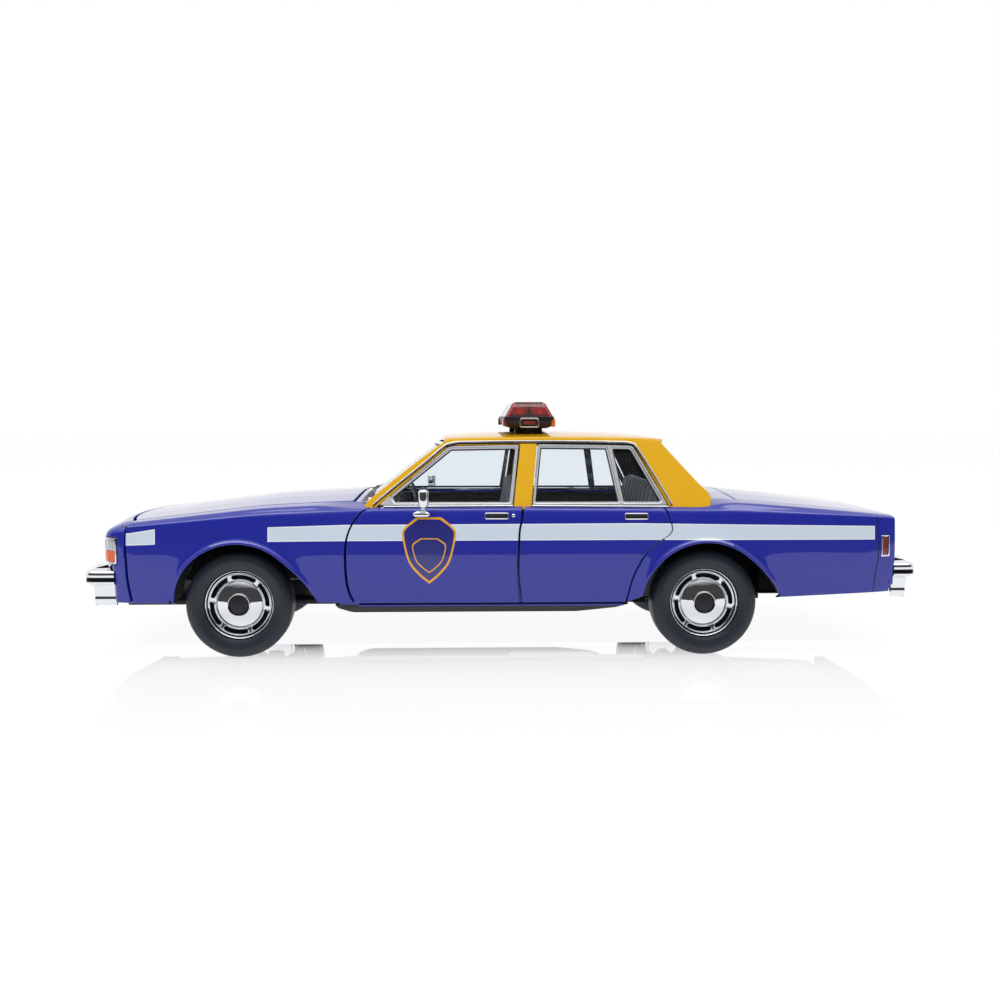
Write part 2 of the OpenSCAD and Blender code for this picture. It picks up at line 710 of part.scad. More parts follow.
// Front doors
module front_door_left() {
    color(blue)
        intersection() {
            side_skin(door_x - 2, post_x + 3, sill_h + 0.9, 1.1, skin, 10);
            through_side(-half_w - 1, -half_w + 12) door_outline(0);
        }
    color(plated)
        on_window_plane(1.6, 0.3)
            difference() {
                polygon(frame_outer());
                polygon(frame_glass());
            }
}
module door_card_left() {
    inner = half_w - door_t;
    color(charcoal)
        through_side(-half_w + skin + 1.7, -inner)
            polygon([[door_x + 2.2, belt_h - 27], [door_x + 2.2, belt_h - 12], [door_x + 8, belt_h - 4],
                [post_x - 2.4, belt_h - 4], [post_x - 2.4, belt_h - 27]]);
}
module door_window_left() {
    color(clear) on_window_plane(0.8, 0.7) polygon(frame_glass());
}
module mirror_left() {
    color(plated)
        translate([door_x + 23, -half_w + 0.95, belt_h - 3.4])
            union() {
                translate([0, -1.3, 0]) cube([6.2, 1.2, 2]);
                translate([2, -2.6, 1]) cube([1.8, 2, 3.4]);
                translate([2, -6.2, 3.4]) cube([2.6, 5.6, 5.8]);
            }
}
module front_door_right() {
    mirrored() front_door_left();
}
module door_card_right() {
    mirrored() door_card_left();
}
module door_window_right() {
    mirrored() door_window_left();
}
module mirror_right() {
    mirrored() mirror_left();
}

// Lids
module hood() {
    color(blue)
        top_skin(fender_x + 1.6, hood_rear_x, -lid_half, lid_half, skin - 0.4, 12);
}
module trunk_lid() {
    color(blue)
        top_skin(lid_x, lid_rear_x, -lid_half, lid_half, skin - 0.4, 8);
}

// Steering
module knuckle(s) {
    color(dark)
        translate([axle_f, s * kingpin_y, 0])
            difference() {
                union() {
                    translate([0, 0, tyre_r - 3.85]) cylinder(r = 1.2, h = 7.6);
                    translate([0, 0, tyre_r - 2.45]) cylinder(r = 2, h = 5);
                    translate([0, 0, tyre_r]) rotate([-90 * s, 0, 0])
                        cylinder(r = axle_r, h = wheel_y - kingpin_y + tyre_w / 2 - 2);
                    translate([0, -1.2, tyre_r + 1.15]) cube([arm_l, 2.4, 1.3]);
                    translate([arm_l, 0, tyre_r + 1.15]) cylinder(r = 1.2, h = 1.3);
                }
                translate([arm_l, 0, tyre_r - 0.45]) cylinder(r = 0.6 + running, h = 4);
            }
}
module knuckle_left() {
    knuckle(-1);
}
module knuckle_right() {
    knuckle(1);
}
module tie_rod() {
    z = tyre_r + 2.65;
    color(dark)
        translate([axle_f + arm_l, 0, 0]) {
            translate([-0.9, -kingpin_y, z]) cube([1.8, 2 * kingpin_y, 1.3]);
            for (s = [-1, 1]) translate([0, s * kingpin_y, z - 1.2]) cylinder(r = 0.6, h = 2);
            for (s = [-1, 1]) translate([0, s * kingpin_y, z]) cylinder(r = 1.2, h = 1.3);
        }
}

// Wheels, drawn upright on the left side at the origin, with the outer face towards -Y
module tyre() {
    half = tyre_w / 2;
    color(dark)
        rotate([90, 0, 0])
            rotate_extrude($fn = 64)
                polygon([[rim_r + running, -half + 1.4], [tyre_r - 2.6, -half], [tyre_r - 0.7, -half + 0.9],
                    [tyre_r, -half + 2.4], [tyre_r, half - 2.4], [tyre_r - 0.7, half - 0.9],
                    [tyre_r - 2.6, half], [rim_r + running, half - 1.4]]);
}
module wheel() {
    half = tyre_w / 2;
    color(plated)
        rotate([90, 0, 0])
            rotate_extrude($fn = 64)
                polygon([[axle_r + running, -2], [3, -2], [3, half - 3.4], [rim_r - 1.2, half - 3],
                    [rim_r - 1.2, -half + 1.6], [rim_r, -half + 1.4], [rim_r, half - 1.4],
                    [rim_r - 0.8, half - 0.8], [4.4, half - 1.4], [3.6, half - 0.6], [0, half - 0.6],
                    [0, half - 1.8], [axle_r + running, half - 1.8]]);
}
module at_wheel(x, s) {
    translate([x, s * wheel_y, tyre_r])
        if (s > 0) mirrored() children();
        else children();
}
module front_tyre_left() {
    at_wheel(axle_f, -1) tyre();
}
module front_wheel_left() {
    at_wheel(axle_f, -1) wheel();
}
module front_tyre_right() {
    at_wheel(axle_f, 1) tyre();
}
module front_wheel_right() {
    at_wheel(axle_f, 1) wheel();
}
module rear_tyres() {
    at_wheel(axle_r_x, -1) tyre();
    at_wheel(axle_r_x, 1) tyre();
}
module rear_wheels() {
    union() {
        at_wheel(axle_r_x, -1) wheel();
        at_wheel(axle_r_x, 1) wheel();
        color(plated)
            translate([axle_r_x, 0, tyre_r])
                rotate([90, 0, 0])
                    cylinder(r = axle_r, h = track + tyre_w - 3.4, center = true);
    }
}

roof_panel();
roof_pillars_left();
roof_pillars_right();
side_sill_left();
side_sill_right();
rear_door_left();
rear_door_right();
quarter_panel_left();
quarter_panel_right();
front_fender_left();
front_fender_right();
cowl_panel();
deck_panel();
tail_panel();
nose_panel();
grille();
headlamps();
corner_lamps();
front_bumper();
rear_bumper();
tail_lamps();
side_markers();
chassis_base();
cabin_tub();
dashboard();
steering_wheel();
radio_console();
front_bench_seat();
rear_bench_seat();
windscreen();
rear_window();
rear_side_windows();
engine_block();
trunk_tub();
exhaust_pipe();
rear_axle_housing();
lightbar_base();
lightbar_domes();
front_door_left();
door_card_left();
door_window_left();
mirror_left();
front_door_right();
door_card_right();
door_window_right();
mirror_right();
hood();
trunk_lid();
knuckle_left();
knuckle_right();
tie_rod();
front_tyre_left();
front_wheel_left();
front_tyre_right();
front_wheel_right();
rear_tyres();
rear_wheels();
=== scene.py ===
# %% [markdown]
# # A die-cast patrol car, built up piece by piece
# The real thing is a large-scale die-cast sedan: a zinc body in gloss enamel, vacuum-plated plastic trim,
# clear plastic windows and smooth rubber tyres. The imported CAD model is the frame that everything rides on.

import math

import bmesh
import bpy
import numpy as np
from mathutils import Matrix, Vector
from mathutils.geometry import delaunay_2d_cdt


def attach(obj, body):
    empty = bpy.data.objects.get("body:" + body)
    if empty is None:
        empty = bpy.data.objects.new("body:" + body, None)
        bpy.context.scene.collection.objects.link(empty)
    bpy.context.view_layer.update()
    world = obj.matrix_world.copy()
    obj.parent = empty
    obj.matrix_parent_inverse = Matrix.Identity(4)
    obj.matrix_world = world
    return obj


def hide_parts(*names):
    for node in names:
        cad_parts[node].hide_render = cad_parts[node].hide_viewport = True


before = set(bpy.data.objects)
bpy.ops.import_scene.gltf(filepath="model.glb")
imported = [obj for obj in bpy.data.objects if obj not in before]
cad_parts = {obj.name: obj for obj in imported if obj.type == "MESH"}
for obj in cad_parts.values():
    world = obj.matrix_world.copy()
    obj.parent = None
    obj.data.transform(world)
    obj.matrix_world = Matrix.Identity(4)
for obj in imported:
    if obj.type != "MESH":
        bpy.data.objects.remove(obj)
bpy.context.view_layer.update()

# %% [markdown]
# Sizes are in millimetres, as a model maker would read them off a drawing, and turn into metres only when
# a mesh is made. These are the car's own stations, with the front at the negative end.

# %% Sizes
MM = 0.001
FRONT, REAR = -149.7, 149.7
AXLE_F, AXLE_R = -91.2, 72.5
HALF_W, BELT, ROOF = 53.2, 53.4, 78.8
FENDER_X, DOOR_X, POST_X, TAIL_X = -129.1, -53.3, 6.0, 140.5
GAP, LID_HALF, FOOT_Z = 0.7, 42.0, 19.2
LEAN = math.radians(24.5)
SLAB_Y = 48.6
TYRE_R, WHEEL_Y = 18.65, 43.6
print("overall length", REAR - FRONT, "mm")

# %% [markdown]
# Colours are written as the sRGB hex codes of a paint chart, and one function turns them into the linear
# values a shader takes. Node trees are built by a few small helpers, so a material reads as a short list.

# %% Colour and node helpers
def rgb(code):
    """A hex colour from a paint chart, turned from sRGB to the linear values the shaders use."""
    parts = [int(code[i:i + 2], 16) / 255 for i in (1, 3, 5)]
    return tuple(c / 12.92 if c <= 0.04045 else ((c + 0.055) / 1.055) ** 2.4 for c in parts) + (1.0,)


def add(tree, kind, settings=None, links=None):
    """Adds one node. Settings are attributes or socket values, and links are sockets fed by other outputs."""
    new = tree.nodes.new(kind)
    for name, value in (settings or {}).items():
        if isinstance(name, str) and hasattr(new, name):
            setattr(new, name, value)
        else:
            new.inputs[name].default_value = value
    for name, source in (links or {}).items():
        tree.links.new(source, new.inputs[name])
    return new


def calc(tree, operation, *values):
    """Adds a math node fed by numbers or by other outputs, and returns its output."""
    numbers = {k: v for k, v in enumerate(values) if isinstance(v, (int, float))}
    links = {k: v for k, v in enumerate(values) if k not in numbers}
    return add(tree, "ShaderNodeMath", {"operation": operation} | numbers, links).outputs[0]


def ramp(tree, source, start, end, low=0.0, high=1.0):
    """An output that goes smoothly from low to high as its source goes from start to end."""
    return add(tree, "ShaderNodeMapRange", {"From Min": start, "From Max": end, "To Min": low, "To Max": high,
               "interpolation_type": "SMOOTHSTEP"}, {"Value": source}).outputs["Result"]


def blank_tree(name, world=False):
    """An empty material or world and its node tree."""
    block = (bpy.data.worlds if world else bpy.data.materials).new(name)
    block.use_nodes = True
    block.node_tree.nodes.clear()
    return block, block.node_tree


print("gloss blue in linear values:", [round(c, 3) for c in rgb("#18229A")])

# %% [markdown]
# ## The studio
# The car stands on a pale sweep in a plain light tent. The camera stands low, a little above the hood, with a
# normal lens, so the side reads almost like a drawing and the top only shows as a thin bright band.

# %% Camera
camera_data = bpy.data.cameras.new("camera")
camera_data.lens = 42.87
camera_data.sensor_width = 36
camera_data.clip_start = 0.01
camera_data.clip_end = 20
camera = bpy.data.objects.new("camera", camera_data)
bpy.context.scene.collection.objects.link(camera)
camera.location = (-13.67 * MM, -463.78 * MM, 84.97 * MM)
camera.rotation_euler = (math.radians(90 - 4.089), 0, math.radians(-1.903))
bpy.context.scene.camera = camera
bpy.context.scene.view_settings.view_transform = "Standard"
print("camera", [round(v, 4) for v in camera.location])

# %% [markdown]
# Rays from the camera, from mirrors and through windows meet the tent as plain white, while matt surfaces get
# a softer and slightly cool light. The tent is dark low down in front of the doors, and the sweep ends there,
# which is what gives a gloss door its darker upper half. The sweep glows evenly. It is polished only in a
# short band along the near wheels, which it mirrors. Two softboxes draw the highlights of the top and nose.

# %% World and floor
SWEEP = [(-3, -0.40, 0), (3, -0.40, 0), (3, 4, 0), (-3, 4, 0)]
POLISH_FROM, POLISH_ENDS = 25 * MM, (158 * MM, 112 * MM)


def rays(tree):
    """Masks for mirror rays, for rays from the camera or through a window, and for all of these."""
    path = add(tree, "ShaderNodeLightPath").outputs
    direct = calc(tree, "MAXIMUM", path["Is Camera Ray"], path["Is Transmission Ray"])
    return path["Is Glossy Ray"], direct, calc(tree, "MAXIMUM", direct, path["Is Glossy Ray"])


world, tree = blank_tree("light_tent", world=True)
by_mirror, direct, any_view = rays(tree)
coords = add(tree, "ShaderNodeTexCoord")
split = add(tree, "ShaderNodeSeparateXYZ", None, {0: coords.outputs["Generated"]})
behind = ramp(tree, split.outputs["Y"], -0.45, 0.05, low=0.06)
above = ramp(tree, split.outputs["Z"], 0.45, 0.93)
room = calc(tree, "MAXIMUM", behind, above)
white = calc(tree, "MAXIMUM", direct, calc(tree, "MULTIPLY", by_mirror, room))
seen = add(tree, "ShaderNodeBackground", {"Color": (1, 1, 1, 1)}, {"Strength": white})
light = add(tree, "ShaderNodeBackground", {"Color": (0.95, 0.97, 1.0, 1), "Strength": 0.55})
mixed = add(tree, "ShaderNodeMixShader", None, {0: any_view, 1: light.outputs[0], 2: seen.outputs[0]})
add(tree, "ShaderNodeOutputWorld", None, {"Surface": mixed.outputs[0]})
bpy.context.scene.world = world

sweep_card, tree = blank_tree("white_sweep")
_, _, any_view = rays(tree)
matt = add(tree, "ShaderNodeBsdfDiffuse", {"Color": (0.8, 0.8, 0.8, 1)})
pale = add(tree, "ShaderNodeBsdfDiffuse", {"Color": (0.11, 0.11, 0.115, 1)})
glow = add(tree, "ShaderNodeEmission", {"Color": (1, 1, 1, 1), "Strength": 0.935})
card = add(tree, "ShaderNodeAddShader", None, {0: pale.outputs[0], 1: glow.outputs[0]})
sheen = add(tree, "ShaderNodeBsdfGlossy", {"Color": (1, 1, 1, 1), "Roughness": 0.03})
place = add(tree, "ShaderNodeTexCoord")
split = add(tree, "ShaderNodeSeparateXYZ", None, {0: place.outputs["Object"]})
fades = []
for strength, reach in ((0.80, 12 * MM), (0.20, 90 * MM)):
    steps = calc(tree, "MULTIPLY_ADD", split.outputs["Y"], 1 / reach, POLISH_FROM / reach)
    fades.append(calc(tree, "MULTIPLY", calc(tree, "EXPONENT", steps), strength))
edge = ramp(tree, split.outputs["Y"], -23 * MM, -26 * MM)
ends = ramp(tree, calc(tree, "ABSOLUTE", split.outputs["X"]), *POLISH_ENDS)
polish = calc(tree, "MULTIPLY", calc(tree, "MULTIPLY", calc(tree, "ADD", *fades), edge), ends)
gloss = add(tree, "ShaderNodeMixShader", None, {0: polish, 1: card.outputs[0], 2: sheen.outputs[0]})
shown = add(tree, "ShaderNodeMixShader", None, {0: any_view, 1: matt.outputs[0], 2: gloss.outputs[0]})
add(tree, "ShaderNodeOutputMaterial", None, {"Surface": shown.outputs[0]})

floor_mesh = bpy.data.meshes.new("floor")
floor_mesh.from_pydata(SWEEP, [], [(0, 1, 2, 3)])
floor_mesh.materials.append(sweep_card)
floor = bpy.data.objects.new("floor", floor_mesh)
bpy.context.scene.collection.objects.link(floor)


def softbox(name, place, aim, wide, tall, power):
    """A studio lamp behind a rectangular diffuser."""
    lamp = bpy.data.lights.new(name, "AREA")
    lamp.shape = "RECTANGLE"
    lamp.size, lamp.size_y, lamp.energy = wide, tall, power
    thing = bpy.data.objects.new(name, lamp)
    thing.location = place
    thing.rotation_euler = (Vector(aim) - Vector(place)).to_track_quat("-Z", "Y").to_euler()
    bpy.context.scene.collection.objects.link(thing)
    return thing


CAR_MIDDLE = (0, 0, 0.03)
softbox("top_softbox", (0, -0.2, 0.87), CAR_MIDDLE, 1.5, 0.24, 4.3)
softbox("front_softbox", (-0.35, -0.9, 0.75), CAR_MIDDLE, 0.5, 0.35, 2.6).visible_glossy = False
print("studio ready")

# %% [markdown]
# ## Finishes
# Every finish starts from what the real one is. Enamel is colour under a hard clear gloss, plating is a
# mirror of metal on plastic, and moulded plastics and rubber are matt with a very fine grain.

# %% The finishes
FINISH = {}


def finish(name, code, grain_mm=0.0, depth=0.0, dust=0.0, ribs_mm=0.0, across="X", **sockets):
    """One opaque finish. Grain is a fine bump sized in millimetres, dust mottles the gloss, ribs are flutes."""
    block, tree = blank_tree(name)
    shader = add(tree, "ShaderNodeBsdfPrincipled", {"Base Color": rgb(code)})
    for key, value in sockets.items():
        shader.inputs[key.replace("_", " ")].default_value = value
    place = add(tree, "ShaderNodeTexCoord").outputs["Object"]
    relief = []
    if grain_mm:
        grain = add(tree, "ShaderNodeTexNoise", {"Scale": 1 / (grain_mm * MM), "Detail": 2.0}, {"Vector": place})
        relief = [grain, depth, grain_mm]
    if ribs_mm:
        flutes = add(tree, "ShaderNodeTexWave", {"Scale": 0.314 / (ribs_mm * MM), "bands_direction": across},
                     {"Vector": place})
        relief = [flutes, 0.6, ribs_mm]
    if relief:
        source, strength, size_mm = relief
        bump = add(tree, "ShaderNodeBump", {"Strength": strength, "Distance": size_mm * MM * 0.3},
                   {"Height": source.outputs["Fac"]})
        tree.links.new(bump.outputs[0], shader.inputs["Normal"])
    if dust:
        cloud = add(tree, "ShaderNodeTexNoise", {"Scale": 1 / (9 * MM), "Detail": 4.0}, {"Vector": place})
        middle = shader.inputs["Roughness"].default_value
        spread = add(tree, "ShaderNodeMapRange", {"From Min": 0.3, "From Max": 0.7,
                     "To Min": max(0.0, middle - dust), "To Max": middle + dust}, {"Value": cloud.outputs["Fac"]})
        tree.links.new(spread.outputs["Result"], shader.inputs["Roughness"])
    add(tree, "ShaderNodeOutputMaterial", None, {"Surface": shader.outputs[0]})
    FINISH[name] = block


def see_through(name, code, roughness, ior=1.49, thin=0.0):
    """Clear moulded plastic. Shadow rays pass, so that what is behind it stays lit."""
    block, tree = blank_tree(name)
    body = add(tree, "ShaderNodeBsdfPrincipled", {"Base Color": rgb(code), "Roughness": roughness,
               "Transmission Weight": 1.0, "IOR": ior})
    tint = [1 - (1 - c) * (1 - thin) for c in rgb(code)[:3]]
    open_way = add(tree, "ShaderNodeBsdfTransparent", {"Color": (*tint, 1)})
    path = add(tree, "ShaderNodeLightPath")
    mix = add(tree, "ShaderNodeMixShader", None, {0: path.outputs["Is Shadow Ray"], 1: body.outputs[0],
              2: open_way.outputs[0]})
    add(tree, "ShaderNodeOutputMaterial", None, {"Surface": mix.outputs[0]})
    FINISH[name] = block


# Enamel sprayed over the zinc casting: even colour under a clear, hard gloss.
ENAMEL = {"dust": 0.03, "Roughness": 0.38, "Coat_Weight": 1.0, "Coat_Roughness": 0.03}
finish("gloss_enamel_blue", "#18229A", Specular_IOR_Level=0.3, **ENAMEL)
finish("gloss_enamel_yellow", "#E2AA00", Specular_IOR_Level=0.0, **ENAMEL)
# Pad-printed stripe and shield inks: thinner than enamel, so their gloss is a little softer.
INK = {"Roughness": 0.3, "Coat_Weight": 0.7, "Coat_Roughness": 0.06}
for name, code in (("stripe_ink", "#D4E1ED"), ("stripe_edge_ink", "#F3F6F9"), ("shield_ink_gold", "#F2A80E"),
                   ("shield_ink_blue", "#23277F")):
    finish(name, code, **INK)
# Vacuum-plated ABS: a bright mirror with the faint ripple of the moulding under it.
finish("vacuum_plating", "#E4E7EB", grain_mm=3.0, depth=0.04, Metallic=1.0, Roughness=0.05)
# Satin moulded ABS, a near-black finish that is painted shade for the unlit depth of gaps, wells and holes, and the
# matt plastic of cabin and seats.
finish("satin_black_abs", "#15161A", grain_mm=0.5, depth=0.25, Roughness=0.42)
finish("black_gap", "#050507", Roughness=0.8)
finish("interior_abs", "#0F1014", grain_mm=0.35, depth=0.15, Roughness=0.75, Specular_IOR_Level=0.12)
finish("seat_moulding", "#5F636C", grain_mm=0.3, depth=0.4, dust=0.05, Roughness=0.62)
finish("seat_pleat_paint", "#A6ABB5", grain_mm=0.3, depth=0.4, Roughness=0.6)
# Moulded rubber with a little bloom, and the silver paint of small fittings.
finish("tyre_rubber", "#1F2731", grain_mm=0.45, depth=0.25, dust=0.06, Roughness=0.48)
finish("silver_paint", "#B4B7BC", grain_mm=0.2, depth=0.1, Metallic=0.8, Roughness=0.32)
# Clear and tinted polystyrene, as used for windows, lamps and the light bar.
see_through("window_styrene", "#F1F5F9", 0.01, ior=1.2, thin=0.7)
see_through("lamp_styrene", "#F4F7FA", 0.03, thin=0.7)
see_through("red_styrene", "#C60A1C", 0.03)
# Lens faces: fluted plastic over a painted or foiled back.
HARD = {"Coat_Weight": 1.0, "Coat_Roughness": 0.03}
finish("amber_lens_face", "#EA6206", ribs_mm=0.9, Roughness=0.3, Coat_Weight=0.4, Coat_Roughness=0.04)
finish("red_lens_face", "#7C0708", ribs_mm=0.8, across="Z", Roughness=0.18, Coat_Weight=1.0, Coat_Roughness=0.04)
finish("clear_lens_face", "#C4CAD0", ribs_mm=0.9, Metallic=0.55, Roughness=0.22, **HARD)
finish("headlamp_face", "#CDD3D9", ribs_mm=0.9, across="Y", Metallic=0.6, Roughness=0.2, **HARD)
print(len(FINISH), "finishes:", ", ".join(FINISH))

# %% [markdown]
# ## Making meshes
# One helper turns points in millimetres into a finished object at the origin. It can mirror a left-hand
# piece to the right, give each face its finish, and set the shading normals where they are known exactly.

# %% Piece helper
PIECES = []


def piece(name, points, faces, finishes, body="root", slot=None, stands_for=(), marks=None, mirror=False,
          normals=None, sharp=35, merge=0.0):
    """Makes one object, rides it on its body and hides the CAD nodes it stands for."""
    points = np.array(points, float)
    if mirror:
        points = points * (1, -1, 1)
        faces = [tuple(face)[::-1] for face in faces]
        if normals is not None:
            normals = [[(n[0], -n[1], n[2]) for n in corner][::-1] for corner in normals]
    mesh = bpy.data.meshes.new(name)
    mesh.from_pydata((points * MM).tolist(), [], [tuple(int(i) for i in face) for face in faces])
    for finish_name in [finishes] if isinstance(finishes, str) else finishes:
        mesh.materials.append(FINISH[finish_name])
    if marks is not None:
        mesh.polygons.foreach_set("material_index", [int(m) for m in marks])
    mesh.validate()
    if merge:
        work = bmesh.new()
        work.from_mesh(mesh)
        bmesh.ops.remove_doubles(work, verts=work.verts, dist=merge * MM)
        bmesh.ops.recalc_face_normals(work, faces=work.faces)
        work.to_mesh(mesh)
        work.free()
    mesh.shade_smooth()
    if normals is not None and len(mesh.polygons) == len(faces):
        mesh.normals_split_custom_set([tuple(n) for corner in normals for n in corner])
    else:
        mesh.set_sharp_from_angle(angle=math.radians(sharp))
    thing = bpy.data.objects.new(name, mesh)
    bpy.context.scene.collection.objects.link(thing)
    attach(thing, body)
    if stands_for:
        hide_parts(*stands_for)
    PIECES.append(name)


def join(*parts):
    """Joins (points, faces, mark) groups into one list of points, faces and finish marks."""
    points, faces, marks = [], [], []
    for part_points, part_faces, mark in parts:
        start = len(points)
        points.extend([tuple(p) for p in part_points])
        faces.extend([tuple(i + start for i in face) for face in part_faces])
        marks.extend([mark] * len(part_faces) if isinstance(mark, int) else mark)
    return points, faces, marks


print("piece helper ready")

# %% [markdown]
# ## The body surface
# All the painted panels of a car lie on one flowing surface, cut apart by thin gaps. So the surface comes
# first: a few tables give its half-width, its shoulder line, its roundness and its side profile, and a fine
# grid of points is softened over a few millimetres, which gives clean highlights.

# %% A smooth surface kept as a grid
def soften(grid, axis, sigma):
    """Averages a grid with its neighbours, keeping straight runs straight right up to the ends."""
    if sigma < 0.3:
        return grid
    reach = int(3 * sigma) + 1
    weights = np.exp(-0.5 * (np.arange(-reach, reach + 1) / sigma) ** 2)
    pad = [(reach, reach) if k == axis else (0, 0) for k in range(grid.ndim)]
    wide = np.pad(grid, pad, mode="reflect", reflect_type="odd")
    count = grid.shape[axis]
    return sum(w * np.take(wide, range(k, k + count), axis) for k, w in enumerate(weights)) / weights.sum()


class Sheet:
    """A surface over two lengths u and v in millimetres, with its outward normals."""

    def __init__(self, us, vs, points, soft_u=0.0, soft_v=0.0, bump=None):
        self.us, self.vs = us, vs
        self.step = (us[1] - us[0], vs[1] - vs[0])
        grid = soften(soften(points, 0, soft_u / self.step[0]), 1, soft_v / self.step[1])
        self.points = grid if bump is None else bump(grid)
        across = np.gradient(self.points, us, axis=0)
        along = np.gradient(self.points, vs, axis=1)
        normal = np.cross(across, along)
        self.normals = normal / np.linalg.norm(normal, axis=2, keepdims=True)

    def at(self, u, v):
        """Points and outward normals at given lengths."""
        u, v = np.asarray(u, float), np.asarray(v, float)
        a = np.clip((u - self.us[0]) / self.step[0], 0, len(self.us) - 1.001)
        b = np.clip((v - self.vs[0]) / self.step[1], 0, len(self.vs) - 1.001)
        i, j = a.astype(int), b.astype(int)
        a, b = (a - i)[..., None], (b - j)[..., None]
        out = []
        for grid in (self.points, self.normals):
            out.append((grid[i, j] * (1 - a) + grid[i + 1, j] * a) * (1 - b)
                       + (grid[i, j + 1] * (1 - a) + grid[i + 1, j + 1] * a) * b)
        return out[0], out[1] / np.linalg.norm(out[1], axis=-1, keepdims=True)


def table(*pairs):
    """A value read off a table of stations, straight between them."""
    keys, values = zip(*pairs)
    return lambda q: np.interp(q, keys, values)


print("sheet ready")

# %% [markdown]
# Read along the car from nose to tail, the tables say how far the side stands in from the widest line, how deep
# the shoulder crease lies below the belt and how strongly the top is crowned. A last one gives the curve of
# the side below the crease. Each wheel opening gets a narrow rolled lip, like that of a pressed fender.

# %% The body's tables
plan_in = table((FRONT + 5, 8.5), (FRONT + 12.7, 5.6), (FENDER_X, 2.5), (AXLE_F, 0.9), (DOOR_X, 0.2),
                (POST_X, 0), (AXLE_R - 10, 0.4), (AXLE_R + 30, 1.7), (TAIL_X - 7, 3.0), (TAIL_X, 4.6),
                (REAR, 8))
crease_drop = table((FRONT + 8, 8.4), (FENDER_X, 6.9), (AXLE_F + 8, 2.6), (DOOR_X + 4, 1.1), (POST_X, 0.9),
                    (AXLE_R + 12, 1.6), (TAIL_X - 7.5, 3.9), (REAR, 5.6))
crown = table((FENDER_X, 0.6), (AXLE_F + 7, 1), (DOOR_X + 4, 1.1), (AXLE_R + 4, 1.4), (AXLE_R + 18, 1.2),
              (AXLE_R + 34, 0.95), (TAIL_X - 6, 0.35), (REAR, 0.3))
side_in = table((-35.4, 2.5), (-29, 1.2), (-21.5, 0.12), (-17.5, 0), (-12, 0.1), (-6.5, 0.45), (-3.4, 1.0),
                (-1, 1.8), (0.6, 3.1), (2, 5))
soft_rise = table((0, 0), (6.3, 1.5), (9.3, 2.3), (31, 3.4), (51, 3.8))
step_rise = table((0, 0), (0.8, 0.15), (1.9, 1.75), (5.5, 2.1), (9.3, 2.45), (31, 3.4), (51, 3.8))
stepped = table((-62, 1), (-54, 0), (73, 0), (80, 1))
ARCH_GAP, ARCH_RUNOUT, ARCH_Z = 3.8, 6.2, TYRE_R - 1


def top_rise(x, v):
    """How far the top rises inside the shoulder. Ahead of the doors and behind the cabin it steps up."""
    return soft_rise(v) + stepped(x) * (step_rise(v) - soft_rise(v))


def shoulder_y(x):
    """Half-width of the body at the shoulder crease."""
    return HALF_W - plan_in(x) - side_in(-crease_drop(x))


def arch_radius(angle):
    """Radius of a wheel opening, which runs out to the rear at its foot."""
    return TYRE_R + ARCH_GAP + ARCH_RUNOUT * np.maximum(0, 1 - np.abs(angle) / math.radians(52)) ** 2


def flare(grid):
    """Rolls a narrow lip outwards round each wheel opening."""
    x, z = grid[..., 0], grid[..., 2]
    for axle in (AXLE_F, AXLE_R):
        dx, dz = x - axle, z - ARCH_Z
        angle = np.arctan2(dz, dx)
        off = np.hypot(dx, dz) - arch_radius(angle)
        fade = np.clip((z - 22) / 9, 0, 1)
        lip = 1.05 * np.exp(-((off - 0.6) / 0.95) ** 2) + 0.3 * np.exp(-(np.maximum(off, 0) / 3.4) ** 2)
        grid[..., 1] -= np.where(dz > 0, lip * fade, 0)
    return grid


xs = np.arange(FRONT, REAR + 0.4, 0.5)
vs = np.arange(-38, 56, 0.25)
gx, gv = np.meshgrid(xs, vs, indexing="ij")
crease = BELT - crease_drop(gx)
gy = np.where(gv <= 0, HALF_W - plan_in(gx) - side_in(crease + gv - BELT), shoulder_y(gx) - gv)
gz = np.where(gv <= 0, crease + gv, crease + crown(gx) * top_rise(gx, gv))
BODY = Sheet(xs, vs, np.stack([gx, -gy, gz], -1), soft_u=3.5, soft_v=0.55, bump=flare)

ys = np.arange(-53, 53.2, 0.5)
tx, ty = np.meshgrid(xs, ys, indexing="ij")
inward = np.maximum(0, shoulder_y(tx) - np.abs(ty))
TOP = Sheet(xs, ys, np.stack([tx, ty, BELT - crease_drop(tx) + crown(tx) * top_rise(tx, inward)], -1),
            soft_u=3.5, soft_v=1.6)
soft_crease = BODY.points[:, np.argmin(abs(vs)), 2]
print("body surface:", BODY.points.shape[:2], "points, top:", TOP.points.shape[:2])

# %% [markdown]
# ## Outlines and panels
# A panel starts as an outline, drawn as smooth or straight runs through a few points of the real shut line.
# The helpers keep the points close and even, round the corners and move a whole outline inwards.

# %% Outline helpers
def curve(points, step=0.8):
    """A smooth path through points, as a list of close points."""
    p = [np.array(q, float) for q in points]
    p = [2 * p[0] - p[1]] + p + [2 * p[-1] - p[-2]]
    out = []
    for a, b, c, d in zip(p, p[1:], p[2:], p[3:]):
        count = max(1, math.ceil(float(np.linalg.norm(c - b)) / step))
        for k in range(count):
            t = k / count
            out.append(tuple(0.5 * (2 * b + (c - a) * t + (2 * a - 5 * b + 4 * c - d) * t * t
                                    + (3 * b - a - 3 * c + d) * t ** 3)))
    return out + [tuple(p[-2])]


def straight(points, step=0.8):
    """A path of straight runs through points, as a list of close points."""
    out = []
    for a, b in zip(points, points[1:]):
        count = max(1, math.ceil(math.dist(a, b) / step))
        out += [tuple(np.array(a) + (np.array(b) - np.array(a)) * k / count) for k in range(count)]
    return out + [tuple(points[-1])]


